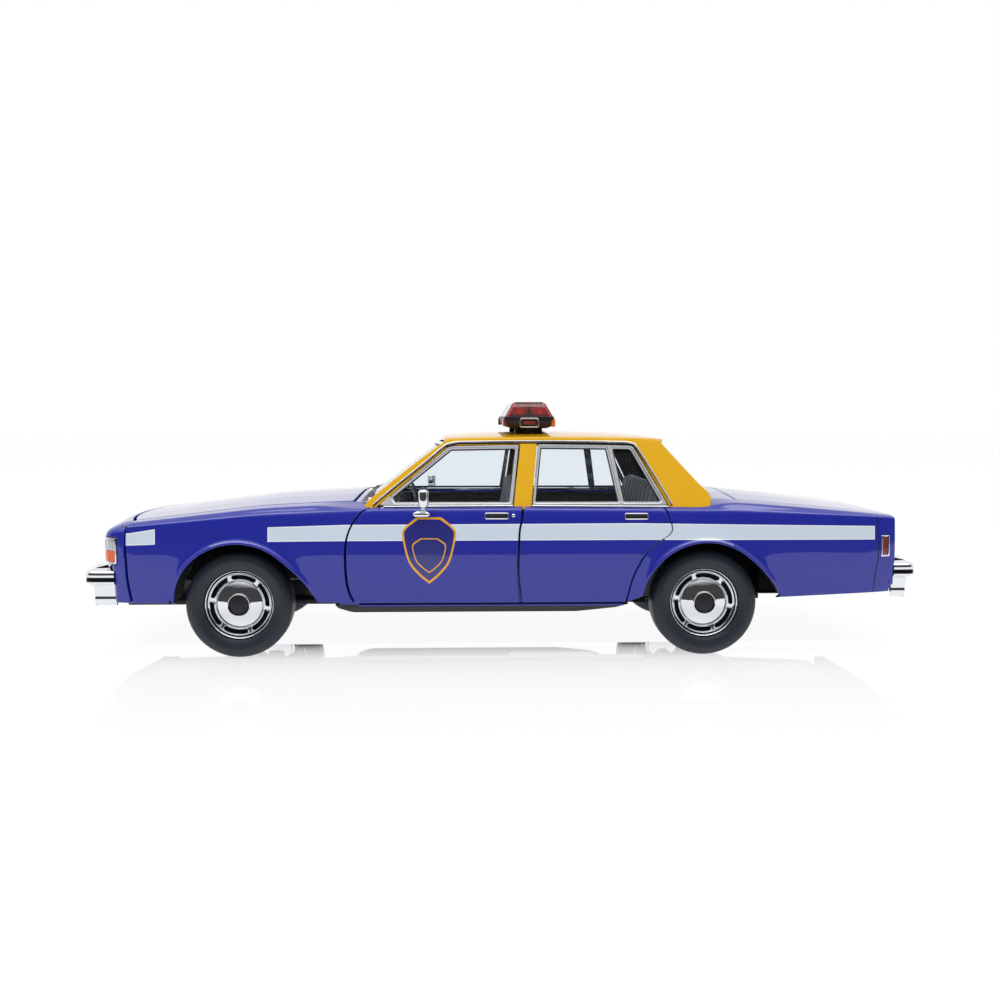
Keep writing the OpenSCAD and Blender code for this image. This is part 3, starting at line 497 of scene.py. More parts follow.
def rounded(points, radius, step=0.8, arc=5):
    """A closed outline with its corners rounded. The radius is one number, or one for each corner."""
    p = [np.array(q, float) for q in points]
    radii = [radius] * len(p) if isinstance(radius, (int, float)) else radius
    out = []
    for k, corner in enumerate(p):
        before, after = p[k - 1] - corner, p[(k + 1) % len(p)] - corner
        before, after = before / np.linalg.norm(before), after / np.linalg.norm(after)
        half = math.acos(max(-1, min(1, float(before @ after)))) / 2
        reach = radii[k] / max(math.tan(half), 1e-6)
        start, end = corner + before * reach, corner + after * reach
        for i in range(arc + 1):
            t = i / arc
            out.append(tuple((1 - t) ** 2 * start + 2 * t * (1 - t) * corner + t * t * end))
    return straight(out + [out[0]], step)[:-1]


def tidy(path, least=0.12):
    """Drops points that repeat the one before."""
    out = [path[0]]
    for q in path[1:]:
        if math.dist(q, out[-1]) > least:
            out.append(q)
    return out[:-1] if math.dist(out[0], out[-1]) <= least else out


def area(loop):
    """The area inside a closed outline, negative for one that runs clockwise."""
    q = np.array(loop)
    return 0.5 * float(np.sum(q[:, 0] * np.roll(q[:, 1], -1) - np.roll(q[:, 0], -1) * q[:, 1]))


def within(points, loop):
    """Which points lie inside a closed outline."""
    q, edge = np.asarray(points, float), np.asarray(loop, float)
    hit = np.zeros(len(q), bool)
    for a, b in zip(edge, np.roll(edge, -1, 0)):
        if a[1] != b[1]:
            crosses = (a[1] > q[:, 1]) != (b[1] > q[:, 1])
            hit ^= crosses & (q[:, 0] < (b[0] - a[0]) * (q[:, 1] - a[1]) / (b[1] - a[1]) + a[0])
    return hit


def inset(loop, distance):
    """Moves a closed outline to its left, which is inwards for one that runs anticlockwise."""
    q = np.array(loop)
    ahead = np.roll(q, -1, 0) - q
    ahead /= np.linalg.norm(ahead, axis=1, keepdims=True)
    left = np.stack([-ahead[:, 1], ahead[:, 0]], 1)
    both = left + np.roll(left, 1, 0)
    both /= np.maximum(np.linalg.norm(both, axis=1, keepdims=True), 1e-6)
    lean = np.maximum(np.sum(both * left, 1, keepdims=True), 0.6)
    return q + both * distance / lean


def shrink(loop, distance):
    """The same as a list of points."""
    return [tuple(q) for q in inset(loop, distance)]


print("outline helpers ready")

# %% [markdown]
# A panel's face is a Delaunay triangulation of its outline and an even grid of points. Its edge rolls over in a
# small radius, and a return and a back close it, as on a casting. Printed colours are outlines too: their
# lines are cut into the same triangulation, so they have clean edges and no thickness.

# %% The panel maker
def triangulate(loops, fences, spacing, rows, extra):
    """Fills outlines with triangles over an even grid. Returns the points and the kept triangles."""
    corners = np.concatenate(loops)
    low, high = corners.min(0), corners.max(0)
    across = np.arange(low[0] + spacing * 0.5, high[0], spacing)
    along = np.arange(low[1] + spacing * 0.5, high[1], spacing) if rows is None else np.array(rows, float)
    grid = np.stack(np.meshgrid(across, along, indexing="ij"), -1).reshape(-1, 2)
    barrier = np.concatenate([corners] + [np.array(f) for f in fences] + [np.array(e) for e in extra])

    def clear(points, of, gap):
        """Which points keep a gap from all the others."""
        keep = np.ones(len(points), bool)
        for k in range(0, len(points), 4000):
            apart = np.linalg.norm(points[k:k + 4000, None] - of[None], axis=2)
            keep[k:k + 4000] = apart.min(1) > gap
        return keep

    def inside(points):
        """Which points lie in the outline and in no hole."""
        hit = within(points, loops[0])
        for hole in loops[1:]:
            hit &= ~within(points, hole)
        return hit

    grid = grid[inside(grid)]
    grid = grid[clear(grid, barrier, spacing * 0.5)] if len(grid) else grid
    free = [grid]
    for e in extra:
        e = np.array(e)
        free.append(e[inside(e) & clear(e, corners, 0.3)])
    points, edges = [], []
    for loop in loops + fences:
        start = len(points)
        points += [tuple(p) for p in loop]
        edges += [(start + k, start + (k + 1) % len(loop)) for k in range(len(loop))]
    points += [tuple(p) for group in free for p in group]
    flat, _, faces, _, _, _ = delaunay_2d_cdt([Vector(p) for p in points], edges, [], 0, 1e-4)
    flat = np.array([tuple(p) for p in flat])
    faces = np.array([tuple(f) for f in faces if len(f) == 3])
    faces = faces[inside(flat[faces].mean(1))]
    turned = np.cross(flat[faces[:, 1]] - flat[faces[:, 0]], flat[faces[:, 2]] - flat[faces[:, 0]]) < 0
    faces[turned] = faces[turned][:, ::-1]
    used = np.unique(faces)
    lookup = np.full(len(flat), -1)
    lookup[used] = np.arange(len(used))
    return flat[used], lookup[faces]


def panel_mesh(outline, sheet, regions=(), holes=(), spacing=1.6, rows=None, extra=(), edge=0.35, depth=1.4,
               lift=0.0, back=0):
    """Points, faces, finish marks and corner normals of one panel."""
    loops = [outline if area(outline) > 0 else outline[::-1]]
    loops += [hole if area(hole) < 0 else hole[::-1] for hole in holes]
    loops = [np.array(tidy([tuple(p) for p in loop])) for loop in loops]
    inner = [inset(loop, edge) for loop in loops]
    flat, faces = triangulate(inner, [list(r) for _, r in regions], spacing, rows, list(extra))
    middle = flat[faces].mean(1)
    marks = np.zeros(len(faces), int)
    for mark, region in regions:
        marks[within(middle, region)] = mark

    once = {}
    for k, face in enumerate(faces):
        for a, b in zip(face, np.roll(face, -1)):
            once[(a, b)] = k
    rim = [(a, b, k) for (a, b), k in once.items() if (b, a) not in once]
    ends = sorted({a for a, _, _ in rim} | {b for _, b, _ in rim})
    rank = {v: i for i, v in enumerate(ends)}
    here = flat[ends]
    starts = np.concatenate(inner)
    stops = np.concatenate([np.roll(q, -1, 0) for q in inner])
    out_a = np.concatenate([a - b for a, b in zip(loops, inner)])
    out_b = np.concatenate([np.roll(a - b, -1, 0) for a, b in zip(loops, inner)])
    run = stops - starts
    share = np.sum((here[:, None] - starts) * run, 2) / np.maximum(np.sum(run * run, 1), 1e-9)
    share = np.clip(share, 0, 1)
    apart = np.linalg.norm(starts + run * share[..., None] - here[:, None], axis=2)
    near = apart.argmin(1)
    share = share[np.arange(len(here)), near][:, None]
    outward = out_a[near] * (1 - share) + out_b[near] * share

    face_p, face_n = sheet.at(flat[:, 0], flat[:, 1])
    rim_p, _ = sheet.at(here[:, 0], here[:, 1])
    edge_p, edge_n = sheet.at(here[:, 0] + outward[:, 0], here[:, 1] + outward[:, 1])
    side_n = edge_p - rim_p
    side_n -= edge_n * np.sum(side_n * edge_n, 1, keepdims=True)
    side_n /= np.maximum(np.linalg.norm(side_n, axis=1, keepdims=True), 1e-9)
    points, normals = [face_p + face_n * lift], [face_n]
    turns = [math.radians(t) for t in (30, 60, 90)]
    for turn in turns:
        q, n = sheet.at(*(here + outward * math.sin(turn)).T)
        points.append(q + n * (lift - edge * (1 - math.cos(turn))))
        normals.append(n * math.cos(turn) + side_n * math.sin(turn))
    points += [edge_p + edge_n * (lift - depth), face_p + face_n * (lift - depth)]
    normals += [side_n, -face_n]
    count, ring = len(flat), len(ends)
    base = [count + ring * k for k in range(4)]
    rear = count + ring * 4
    all_faces = [tuple(f) for f in faces]
    all_marks = list(marks)
    corner = [[normals[0][i] for i in f] for f in faces]
    for a, b, k in rim:
        i, j = rank[a], rank[b]
        chain = [(a, b, normals[0][a], normals[0][b])]
        chain += [(base[t] + i, base[t] + j, normals[t + 1][i], normals[t + 1][j]) for t in range(3)]
        for (p0, p1, n0, n1), (q0, q1, m0, m1) in zip(chain, chain[1:]):
            all_faces.append((p1, p0, q0, q1))
            corner.append([n1, n0, m0, m1])
            all_marks.append(marks[k])
        all_faces.append((base[2] + j, base[2] + i, base[3] + i, base[3] + j))
        corner.append([side_n[j], side_n[i], side_n[i], side_n[j]])
        all_marks.append(marks[k])
        all_faces.append((base[3] + j, base[3] + i, rear + a, rear + b))
        corner.append([-face_n[b], -face_n[a], -face_n[a], -face_n[b]])
        all_marks.append(back)
    for f in faces:
        all_faces.append((rear + f[0], rear + f[2], rear + f[1]))
        corner.append([-face_n[f[0]], -face_n[f[2]], -face_n[f[1]]])
        all_marks.append(back)
    return np.concatenate(points), all_faces, all_marks, corner


def both_sides(name, build, finishes, body="root", stands_for=(), **more):
    """One piece for each side of the car, from the left-hand one. A * in a name becomes left or right."""
    points, faces, marks, corner = build
    for word in ("left", "right"):
        piece(name.replace("*", word), points, faces, finishes, marks=marks, normals=corner,
              mirror=word == "right", body=body.replace("*", word),
              stands_for=[n.replace("*", word) for n in stands_for], **more)


def single(name, build, finishes, **more):
    """One piece made of one panel."""
    points, faces, marks, corner = build
    piece(name, points, faces, finishes, marks=marks, normals=corner, **more)


PAINTED = ("gloss_enamel_blue", "stripe_edge_ink", "stripe_ink", "shield_ink_gold", "shield_ink_blue", "black_gap",
           "satin_black_abs")
ROWS = [-34, -32.4, -30.8, -29.2, -27.6, -26, -24.4, -22.8, -21.2, -19.6, -18, -16.4, -14.8, -13.2, -11.6, -10,
        -8.4, -7, -5.6, -4.4, -3.4, -2.5, -1.8, -1.2, -0.6, 0, 0.6, 1.2, 1.9, 2.8, 4, 5.4, 6.6, 7.6, 8.6, 10, 12]
print("panel maker ready")

# %% [markdown]
# ## Painted panels
# Each door, fender and quarter is cut from the body surface. The lines come from the model's own shut lines,
# written as length along the car and height, and are turned into the surface's own two lengths.

# %% Shut lines and printed colours
def on_side(path):
    """Turns points of length and height into the body surface's two lengths."""
    return [(x, z - float(np.interp(x, xs, soft_crease))) for x, z in path]


def arch(axle, off=0.0, first=0, last=180, count=60):
    """The edge of a wheel opening in length and height, moved outwards by a distance."""
    out = []
    for k in range(count + 1):
        angle = math.radians(first + (last - first) * k / count)
        r = float(arch_radius(angle)) + off
        out.append((axle + r * math.cos(angle), ARCH_Z + r * math.sin(angle)))
    return out


def flare_lines(axle):
    """Close rows of points round an opening, where the lip curves most."""
    return [on_side(arch(axle, off, 8, 172, 90)) for off in (0.5, 0.9, 1.3, 1.7, 2.2, 2.9, 3.9)]


door_front = curve([(-50.1, FOOT_Z), (-51.6, 21.8), (-52.7, 25.4), (-53.1, 28.9), (-53.3, 34.3), (-53.2, 39.6),
                    (-52.5, 43.1), (-51.3, 46.2), (-49.6, 48.9), (-46.7, 52.0), (-44.6, 53.6)])
door_rear = curve([(7.0, FOOT_Z), (6.4, 25.1), (6.0, 30.1), (6.0, 34.1), (6.5, 44.3), (7.2, 47.9), (7.9, 53.6)])
rear_line = curve([(44.3, FOOT_Z), (44.6, 20.8), (46.1, 27.1), (47.9, 31.6), (50.5, 36.1), (53.7, 39.2),
                   (56.8, 41.5), (59.2, 43.2), (60.1, 45.2), (59.4, 47.9), (57.8, 52.4), (57.4, 53.8)])
stripe_low = table((-128.8, 39.7), (-119.2, 40.1), (-80.3, 41.1), (-53.8, 41.3), (48.9, 41.4), (132.5, 40.9))
stripe_high = table((-128.8, 43.9), (-119.2, 45.4), (-80.3, 46.1), (-53.8, 46.9), (48.9, 47.2), (132.5, 45.7))


def stripe(x0, x1):
    """A printed stripe from one length to another: a bright edge line round a paler band."""
    def band(a, b, drop):
        """The stripe's outline, drawn in from its edges by a drop."""
        stations = np.arange(a, b + 0.01, (b - a) / max(1, round((b - a) / 1.2)))
        bottom = [(x, stripe_low(x) + drop) for x in stations]
        top = [(x, stripe_high(x) - drop) for x in stations[::-1]]
        return tidy(on_side(straight(bottom + top + bottom[:1])))
    return [(1, band(x0, x1, 0)), (2, band(x0 + 0.3, x1 - 0.3, 0.32))]


print("door", round(door_rear[0][0] - door_front[0][0], 1), "mm long at its foot")

# %% [markdown]
# The front doors are castings of their own that swing, and the rear ones are cast shut, so their gap is only
# engraved. The shield on the door is pad-printed like the stripe, and stays a plain badge without wording.

# %% Doors, fenders and quarters
TOP_EDGE = 2.5
SHIELD_X, STRIPE_REAR = -24.6, 132.5
BLUE = {"finishes": PAINTED, "slot": "blue_paint"}
front_path = on_side(door_front) + [(-44.3, TOP_EDGE)]
rear_path = on_side(door_rear) + [(8.0, TOP_EDGE)]
gap_line = on_side(rear_line) + [(57.3, TOP_EDGE)]


def moved(path, dx):
    """A path moved along the car."""
    return [(x + dx, v) for x, v in path]


def foot(x0, x1):
    """The level lower edge of a panel."""
    return on_side(straight([(x0, FOOT_Z), (x1, FOOT_Z)]))


def shield(half_top, top, half_wide, shoulder, wide, low, tip_z):
    """A shield outline: flat top, shoulders, and sides that curve down to a tip."""
    right = [(half_top, top), (half_top + 1.3, top - 0.9), (half_wide * 0.93, shoulder), (half_wide, wide),
             (half_wide * 0.78, low + (wide - low) * 0.45), (half_wide * 0.4, low + (wide - low) * 0.14), (0, tip_z)]
    right = curve([(SHIELD_X + x, z) for x, z in right], 0.7)
    left = [(2 * SHIELD_X - x, z) for x, z in reversed(right)]
    return tidy(on_side(right + left[1:]))


badge = [(3, shield(4.2, 49.4, 9.3, 45.6, 42.8, 27.2, 26.2)), (4, shield(3.7, 48.7, 8.6, 45.3, 42.7, 28.2, 27.2)),
         (3, shield(3.0, 42.2, 5.9, 40.4, 38.9, 30.6, 30.0)), (4, shield(2.7, 41.8, 5.5, 40.1, 38.8, 31.1, 30.5))]
door = tidy(front_path + moved([(-44.3, TOP_EDGE)], 0.5) + straight([(-43, TOP_EDGE), (7.2, TOP_EDGE)])
            + rear_path[::-1] + foot(7.0, -50.1)[1:-1])
both_sides("door_skin_*", panel_mesh(door, BODY, rows=ROWS, back=6, regions=stripe(-56, 12) + badge),
           body="door_*", stands_for=["front_door_*"], **BLUE)

rear_skin = tidy(moved(rear_path, GAP) + straight([(9, TOP_EDGE), (56.8, TOP_EDGE)]) + gap_line[::-1]
                 + foot(43.9, 7.9)[1:-1])
both_sides("rear_door_skin_*", panel_mesh(rear_skin, BODY, rows=ROWS, back=6, regions=stripe(4, 63)),
           stands_for=["rear_door_*"], **BLUE)

deck_edge = curve([(57.9, TOP_EDGE), (61.0, 3.6), (66.0, 4.6), (72.0, 5.6), (76.4, 8.6), (85, 8.95), (100, 8.3),
                   (TAIL_X, 6.6)])
quarter = tidy(moved(gap_line, 0.4) + deck_edge[1:]
               + on_side(straight([(TAIL_X, 49), (TAIL_X, 33.4), (139.7, 27), (138.8, 22.0), (97.9, 20.4)]))
               + on_side(arch(AXLE_R, 0, 8, 171)))
both_sides("quarter_skin_*", panel_mesh(quarter, BODY, rows=ROWS, extra=flare_lines(AXLE_R), depth=1.6, back=6,
           regions=stripe(40, STRIPE_REAR)), stands_for=["quarter_panel_*"], **BLUE)

fender_front = curve([(-127.9, FOOT_Z), (-129.0, 27.4), (-129.3, 34.5), (-129.6, 41.1), (-129.3, 45.6)])
hood_side = [(x, float(shoulder_y(x)) - LID_HALF - GAP) for x in np.arange(-129, -50, 1.5)]
fender = tidy(on_side(fender_front) + [(-129.2, 1.0), (-129.0, 2.8), (-128.0, 6.0), (-127.3, 7.7)]
              + [q for q in hood_side if q[0] > -126.5]
              + [(-50.2, 8.9), (-46.8, 6.0), (-45.2, TOP_EDGE + 0.6)] + moved(front_path, -GAP)[::-1]
              + on_side(arch(AXLE_F, 0, 4, 177)) + foot(-113.6, -127.2))
both_sides("fender_skin_*", panel_mesh(fender, BODY, rows=ROWS, extra=flare_lines(AXLE_F), depth=1.6, back=6,
           regions=stripe(-132, -119.2) + stripe(-80.3, -40)), stands_for=["front_fender_*"], **BLUE)
print("side panels ready")

# %% [markdown]
# The top panels are cut from the same body surface seen from above. Hood and trunk lid are castings that open,
# with an even gap all round. The cowl is a darker plastic inlay between hood and windscreen.

# %% Hood, trunk lid, cowl and deck
HOOD_NOSE, HOOD_TAIL = -127.5, -51.9
LID_FRONT, LID_REAR, DECK_HALF, COWL_HALF = 85.0, 139.4, 42.7, 42.5


def across(half, step=1.5):
    """Widths from one side to the other, each with its share of the half-width."""
    return [(y, abs(y) / half) for y in np.arange(-half, half + 0.1, step)]


def box_path(u0, u1, v0, v1, radius, step=0.8):
    """A rounded rectangle on a surface."""
    return rounded([(u0, v0), (u1, v0), (u1, v1), (u0, v1)], radius, step)


hood_tail = [(HOOD_TAIL + 0.9 * (1 - k ** 2), y) for y, k in across(LID_HALF)]
hood_nose = [(HOOD_NOSE - 6.2 * (1 - k ** 2.4), y) for y, k in across(LID_HALF)]
hood = hood_nose + straight([(HOOD_NOSE + 0.1, LID_HALF), (HOOD_TAIL, LID_HALF)], 1.5) + hood_tail[::-1] \
    + straight([(HOOD_TAIL, -LID_HALF), (HOOD_NOSE + 0.1, -LID_HALF)], 1.5)
single("hood_skin", panel_mesh(tidy(hood), TOP, spacing=1.7, edge=0.5, depth=1.5), body="hood_lid",
       stands_for=["hood"], **BLUE)
lid = box_path(LID_FRONT, LID_REAR, -LID_HALF, LID_HALF, 1.2, 1.5)
single("trunk_skin", panel_mesh(lid, TOP, spacing=1.7, edge=0.5, depth=1.5), body="trunk_lid_body",
       stands_for=["trunk_lid"], **BLUE)
deck = box_path(71.5, LID_FRONT - GAP, -DECK_HALF, DECK_HALF, 0.5, 1.5)
single("deck_skin", panel_mesh(deck, TOP, spacing=1.7, depth=1.5), stands_for=["deck_panel"], **BLUE)
cowl = [(-51.2 + 0.9 * (1 - k ** 2), y) for y, k in across(COWL_HALF)] \
    + [(-42.2 - 4.2 * (1 - k ** 2), -y) for y, k in across(COWL_HALF)]
single("cowl_skin", panel_mesh(tidy(cowl), TOP, spacing=1.7, depth=1.3, lift=-0.5, regions=[(6, inset(cowl, -2))]),
       PAINTED, slot="black_plastic", stands_for=["cowl_panel"])
print("top panels ready")

# %% [markdown]
# ## Roof and pillars
# The roof, both rails and all the pillars are one casting, so they are one mesh: a crowned roof sheet that
# turns down over a short riser into the leaning side planes. The window openings are notches in its outline.

# %% The greenhouse surface
ROOF_HALF, RISER, SIDE_TOP = 38.1, 1.5, 24.4
roof_drop = table((-21, 1.5), (-13, 0.8), (-1.3, 0.3), (18.7, 0), (42.7, 0.5), (52, 1.1), (58, 1.9), (63, 3.4))


def up_side(s):
    """Where a height up the leaning left side plane lies on the greenhouse surface."""
    return -(ROOF_HALF + RISER + SIDE_TOP - s)


def over_roof(x, w):
    """The greenhouse surface over the length along the car and the length across the roof and down the side."""
    t = np.abs(w)
    e = np.clip(t / ROOF_HALF, 0, 1)
    crown_z = ROOF - roof_drop(x) * (1 - 0.6 * e ** 2) - 1.7 * e ** 2.6
    s = SIDE_TOP - (t - ROOF_HALF - RISER)
    edge_y, edge_z = SLAB_Y - SIDE_TOP * math.sin(LEAN), BELT + SIDE_TOP * math.cos(LEAN)
    k = np.clip((t - ROOF_HALF) / RISER, 0, 1)
    y = np.where(t < ROOF_HALF, t, np.where(k < 1, ROOF_HALF + (edge_y - ROOF_HALF) * k,
                                            SLAB_Y - s * math.sin(LEAN)))
    z = np.where(t < ROOF_HALF, crown_z, np.where(k < 1, crown_z + (edge_z - crown_z) * k,
                                                  BELT + s * math.cos(LEAN)))
    return np.stack([x, y * np.sign(w), z], -1)


rx = np.arange(-50, 80.1, 0.5)
rw = np.arange(-68, 68.1, 0.25)
CABIN = Sheet(rx, rw, over_roof(*np.meshgrid(rx, rw, indexing="ij")), soft_u=1.5, soft_v=0.45)


def cabin_side(path):
    """Turns points of length and height up the side plane into the greenhouse surface's two lengths."""
    return [(x, up_side(s)) for x, s in path]


roof_front = curve([(-18.9, -39.6), (-19.6, -30), (-20.3, -12), (-20.4, 0)], 1.5)
roof_rear = curve([(57.9, -39.6), (60.4, -30), (62.1, -14), (62.5, 0)], 1.5)
half = cabin_side(curve([(-47.2, -1.4), (-46.3, 1.5), (-37.4, 9.6), (-28.3, 17.4), (-21.0, 23.2)], 1)) \
    + roof_front
door_notch = cabin_side(rounded([(4.8, -1.5), (7.7, 23.4), (-17.6, 22.9), (-44.1, -1.5)], [0, 0.8, 2.2, 0], 1))
rear_notch = cabin_side(rounded([(60.3, -1.5), (48.4, 23.4), (13.7, 23.9), (11.1, -1.5)], [0, 2.0, 0.8, 0], 1))


def from_corner(loop, corner, stop):
    """The part of a closed outline from the point nearest one corner to the point nearest another."""
    q = np.array(loop)
    a = int(np.linalg.norm(q - np.array(corner), axis=1).argmin())
    b = int(np.linalg.norm(q - np.array(stop), axis=1).argmin())
    return [loop[k % len(loop)] for k in range(a, (b if b > a else b + len(loop)) + 1)]


pillar_gap = from_corner(door_notch, (4.8, up_side(-1.5)), (-44.1, up_side(-1.5)))
rear_gap = from_corner(rear_notch, (60.3, up_side(-1.5)), (11.1, up_side(-1.5)))
c_rear = cabin_side(curve([(74.0, -1.5), (74.5, 3.6), (70.1, 9.0), (64.0, 16.6), (58.8, 23.2)], 1))
left_half = roof_front[::-1] + half[:len(half) - len(roof_front)][::-1] + pillar_gap[::-1] + rear_gap[::-1] \
    + c_rear + roof_rear
cabin_outline = tidy(left_half + [(x, -w) for x, w in reversed(left_half[1:-1])])
single("roof_and_pillars", panel_mesh(cabin_outline, CABIN, spacing=1.6, edge=0.4, depth=3.0, back=1),
       ("gloss_enamel_yellow", "interior_abs"), slot="yellow_paint",
       stands_for=["roof_panel", "roof_pillars_left", "roof_pillars_right"])
print("roof and pillars ready")

# %% [markdown]
# Bright mouldings and thin dark lines are bars laid along a path on a surface. The drip moulding over the
# doors is a half-round plated strip with a dark line under it as its painted shadow, and a dark strip behind the gap
# of the nose is painted shade.

# %% Trim strips that follow a surface
HALF_ROUND = [(-1, 0), (-0.92, 0.5), (-0.6, 0.85), (0, 1), (0.6, 0.85), (0.92, 0.5), (1, 0)]


def strip(path, sheet, wide, high, closed=False, base=-0.25, lift=0.0):
    """A half-round bar laid along a path on a surface."""
    q = np.array(tidy(list(path), 0.05)) if closed else np.array(path)
    p, n = sheet.at(q[:, 0], q[:, 1])
    ahead = np.roll(p, -1, 0) - np.roll(p, 1, 0) if closed else np.gradient(p, axis=0)
    ahead /= np.maximum(np.linalg.norm(ahead, axis=1, keepdims=True), 1e-9)
    side = np.cross(ahead, n)
    ring = [(a * wide / 2, lift + b * high) for a, b in HALF_ROUND]
    ring += [(wide / 2, lift + base), (-wide / 2, lift + base)]
    points = np.stack([p + side * a + n * b for a, b in ring], 1).reshape(-1, 3)
    count, m = len(p), len(ring)
    faces = [(i * m + k, i * m + (k + 1) % m, (i + 1) % count * m + (k + 1) % m, (i + 1) % count * m + k)
             for i in range(count if closed else count - 1) for k in range(m)]
    if not closed:
        faces += [tuple(range(m))[::-1], tuple((count - 1) * m + k for k in range(m))]
    return points, faces


def bright_with_painted_shadow(path, sheet, size, line, drop):
    """A bright strip and a thin dark line below it as its painted shadow, as two groups. Size and line are widths and
    heights.
    """
    return [(*strip(path, sheet, *size), 0), (*strip([(x, v - drop) for x, v in path], sheet, *line), 1)]


def trim(name, parts, finishes, body="root", stands_for=(), **more):
    """One piece for each side from (points, faces, mark) groups of the left-hand side."""
    points, faces, marks = join(*parts)
    for word in ("left", "right"):
        piece(name.replace("*", word), points, faces, finishes, marks=marks, mirror=word == "right",
              body=body.replace("*", word), stands_for=[n.replace("*", word) for n in stands_for], **more)


BRIGHT = {"finishes": ("vacuum_plating", "black_gap"), "slot": "plated_plastic"}
# A near-black strip set behind the gap between nose and fender is painted shade in the gap.
backing = moved(on_side(fender_front), 0.4)
trim("nose_gap_backing_*", [(*strip(backing, BODY, 4.5, 0.5, lift=-2.6), 0)], "black_gap", slot="black_plastic")
rail = cabin_side(curve([(-44.0, 0.2), (-42.8, 1.6), (-34.5, 9.0), (-26.2, 16.3), (-19.5, 22.4), (-16.6, 23.6)], 1)
                  + curve([(-14.5, 24.0), (6, 24.25), (30, 24.2), (45.5, 23.9)], 1.5)
                  + curve([(47.6, 23.5), (49.4, 21.9), (54.6, 12.2), (60.6, 0.2)], 1))
# The thin dark line under the plated drip moulding is its painted shadow.
trim("drip_moulding_*", bright_with_painted_shadow(rail, CABIN, (0.85, 0.5), (0.42, 0.16), 0.62), **BRIGHT)
print("drip mouldings ready")

# %% [markdown]
# ## Windows and their frames
# The plated frames stand on the side planes in two steps, with a thin black rubber line between plating and
# glass. The panes themselves are clear polystyrene. A bright strip runs along the belt below them.

# %% Door frames and glass
FRAME_LIFT = -0.25
FLAT = {"spacing": 2.5, "edge": 0.12, "depth": 1.0}


def opening(sight, step, ledge):
    """The hole in the frame, its lower step, the rubber line and the pane of one opening."""
    sight = cabin_side(rounded(*sight, 0.9))
    turn = 1 if area(sight) > 0 else -1

    def within_sight(distance):
        """The sight line moved in, or out for a negative distance."""
        return shrink(sight, distance * turn)
    inner = panel_mesh(within_sight(-ledge), CABIN, holes=[within_sight(0.05)], lift=FRAME_LIFT - 0.35, **FLAT)
    rubber = strip(within_sight(0.15), CABIN, 0.5, 0.2, closed=True, lift=FRAME_LIFT - 0.6)
    pane = panel_mesh(within_sight(-0.3), CABIN, lift=FRAME_LIFT - 0.85, edge=0.12, depth=1.0, spacing=3.0)
    return within_sight(-step), inner, (*rubber, 0), pane


def frame_face(outer, holes):
    """The frame's upper step."""
    return panel_mesh(cabin_side(rounded(*outer, 0.9)), CABIN, holes=holes, spacing=2.5, edge=0.22, depth=1.5,
                      lift=FRAME_LIFT)


front_outer = ([(-42.3, 0.1), (-17.6, 22.6), (7.2, 23.1), (4.6, 0.1)], [0.2, 2.0, 0.9, 0.2])
front_sight = ([(-36.4, 1.4), (-37.6, 3.2), (-17.0, 21.5), (6.0, 21.9), (3.4, 1.4)], [0.5, 1.0, 1.6, 0.8, 0.4])
rear_outer = ([(11.5, 0.1), (14.0, 23.5), (47.8, 22.9), (59.2, 0.1)], [0.2, 0.9, 1.8, 0.2])
rear_sight = ([(12.5, 1.4), (14.9, 22.2), (38.4, 21.9), (41.9, 1.4)], [0.4, 0.7, 0.7, 0.4])
corner_sight = ([(43.7, 1.4), (40.5, 21.8), (47.0, 21.7), (56.9, 1.4)], [0.4, 0.7, 1.5, 0.6])
PLATED = {"finishes": "vacuum_plating", "slot": "plated_plastic"}
RUBBER = {"finishes": "satin_black_abs", "slot": "black_plastic"}
CLEAR = {"finishes": "window_styrene", "slot": "clear_plastic"}
hole, inner, rubber, pane = opening(front_sight, 0.55, 0.95)
both_sides("door_frame_*", frame_face(front_outer, [hole]), body="door_*", **PLATED)
both_sides("door_frame_step_*", inner, body="door_*", **PLATED)
both_sides("door_glass_*", pane, body="door_*", stands_for=["door_window_*"], **CLEAR)
trim("door_glass_rubber_*", [rubber], body="door_*", **RUBBER)

openings = [opening(sight, 0.5, 0.85) for sight in (rear_sight, corner_sight)]
both_sides("rear_frame_*", frame_face(rear_outer, [hole for hole, _, _, _ in openings]), **PLATED)
for word, (_, inner, _, pane) in zip(("door", "corner"), openings):
    both_sides("rear_%s_frame_step_*" % word, inner, **PLATED)
    both_sides("rear_%s_glass_*" % word, pane, stands_for=["rear_side_windows"], **CLEAR)
trim("rear_glass_rubber_*", [rubber for _, _, rubber, _ in openings], **RUBBER)

# Each belt strip has a thin dark line under it as its painted shadow.
for name, x0, x1, body in (("door", -40.5, 4.7, "door_*"), ("rear", 11.3, 59.5, "root")):
    belt = [(x, TOP_EDGE - 0.3) for x in np.arange(x0, x1, 1.5)]
    trim(name + "_belt_strip_*", bright_with_painted_shadow(belt, BODY, (0.9, 0.45), (0.4, 0.12), 0.65), body=body, **BRIGHT)
print("side windows ready")

# %% [markdown]
# Windscreen and rear window are bowed sheets of the same clear plastic. Each has a plated moulding round it
# and a rubber line inside that, pressed into the opening from outside.

# %% Windscreen and rear window
GLASS_HALF, GLASS_TALL = 40, 32


def bowed_glass(foot_x, foot_z, head_x, head_z, reach0, reach1, bow, turn):
    """A bowed sheet over width and height. A turn of -1 faces it forwards."""
    us, vs = np.arange(-GLASS_HALF, GLASS_HALF + 0.1, 1.0), np.arange(0, GLASS_TALL + 0.1, 0.5)
    u, v = np.meshgrid(us, vs, indexing="ij")
    t, f = v / GLASS_TALL, u / GLASS_HALF
    y = f * (reach0 + (reach1 - reach0) * t) * turn
    x = foot_x + (head_x - foot_x) * t + bow * turn * (1 - f * f) * (1 - 0.35 * t)
    return Sheet(us, vs, np.stack([x, y, foot_z + (head_z - foot_z) * t], -1))


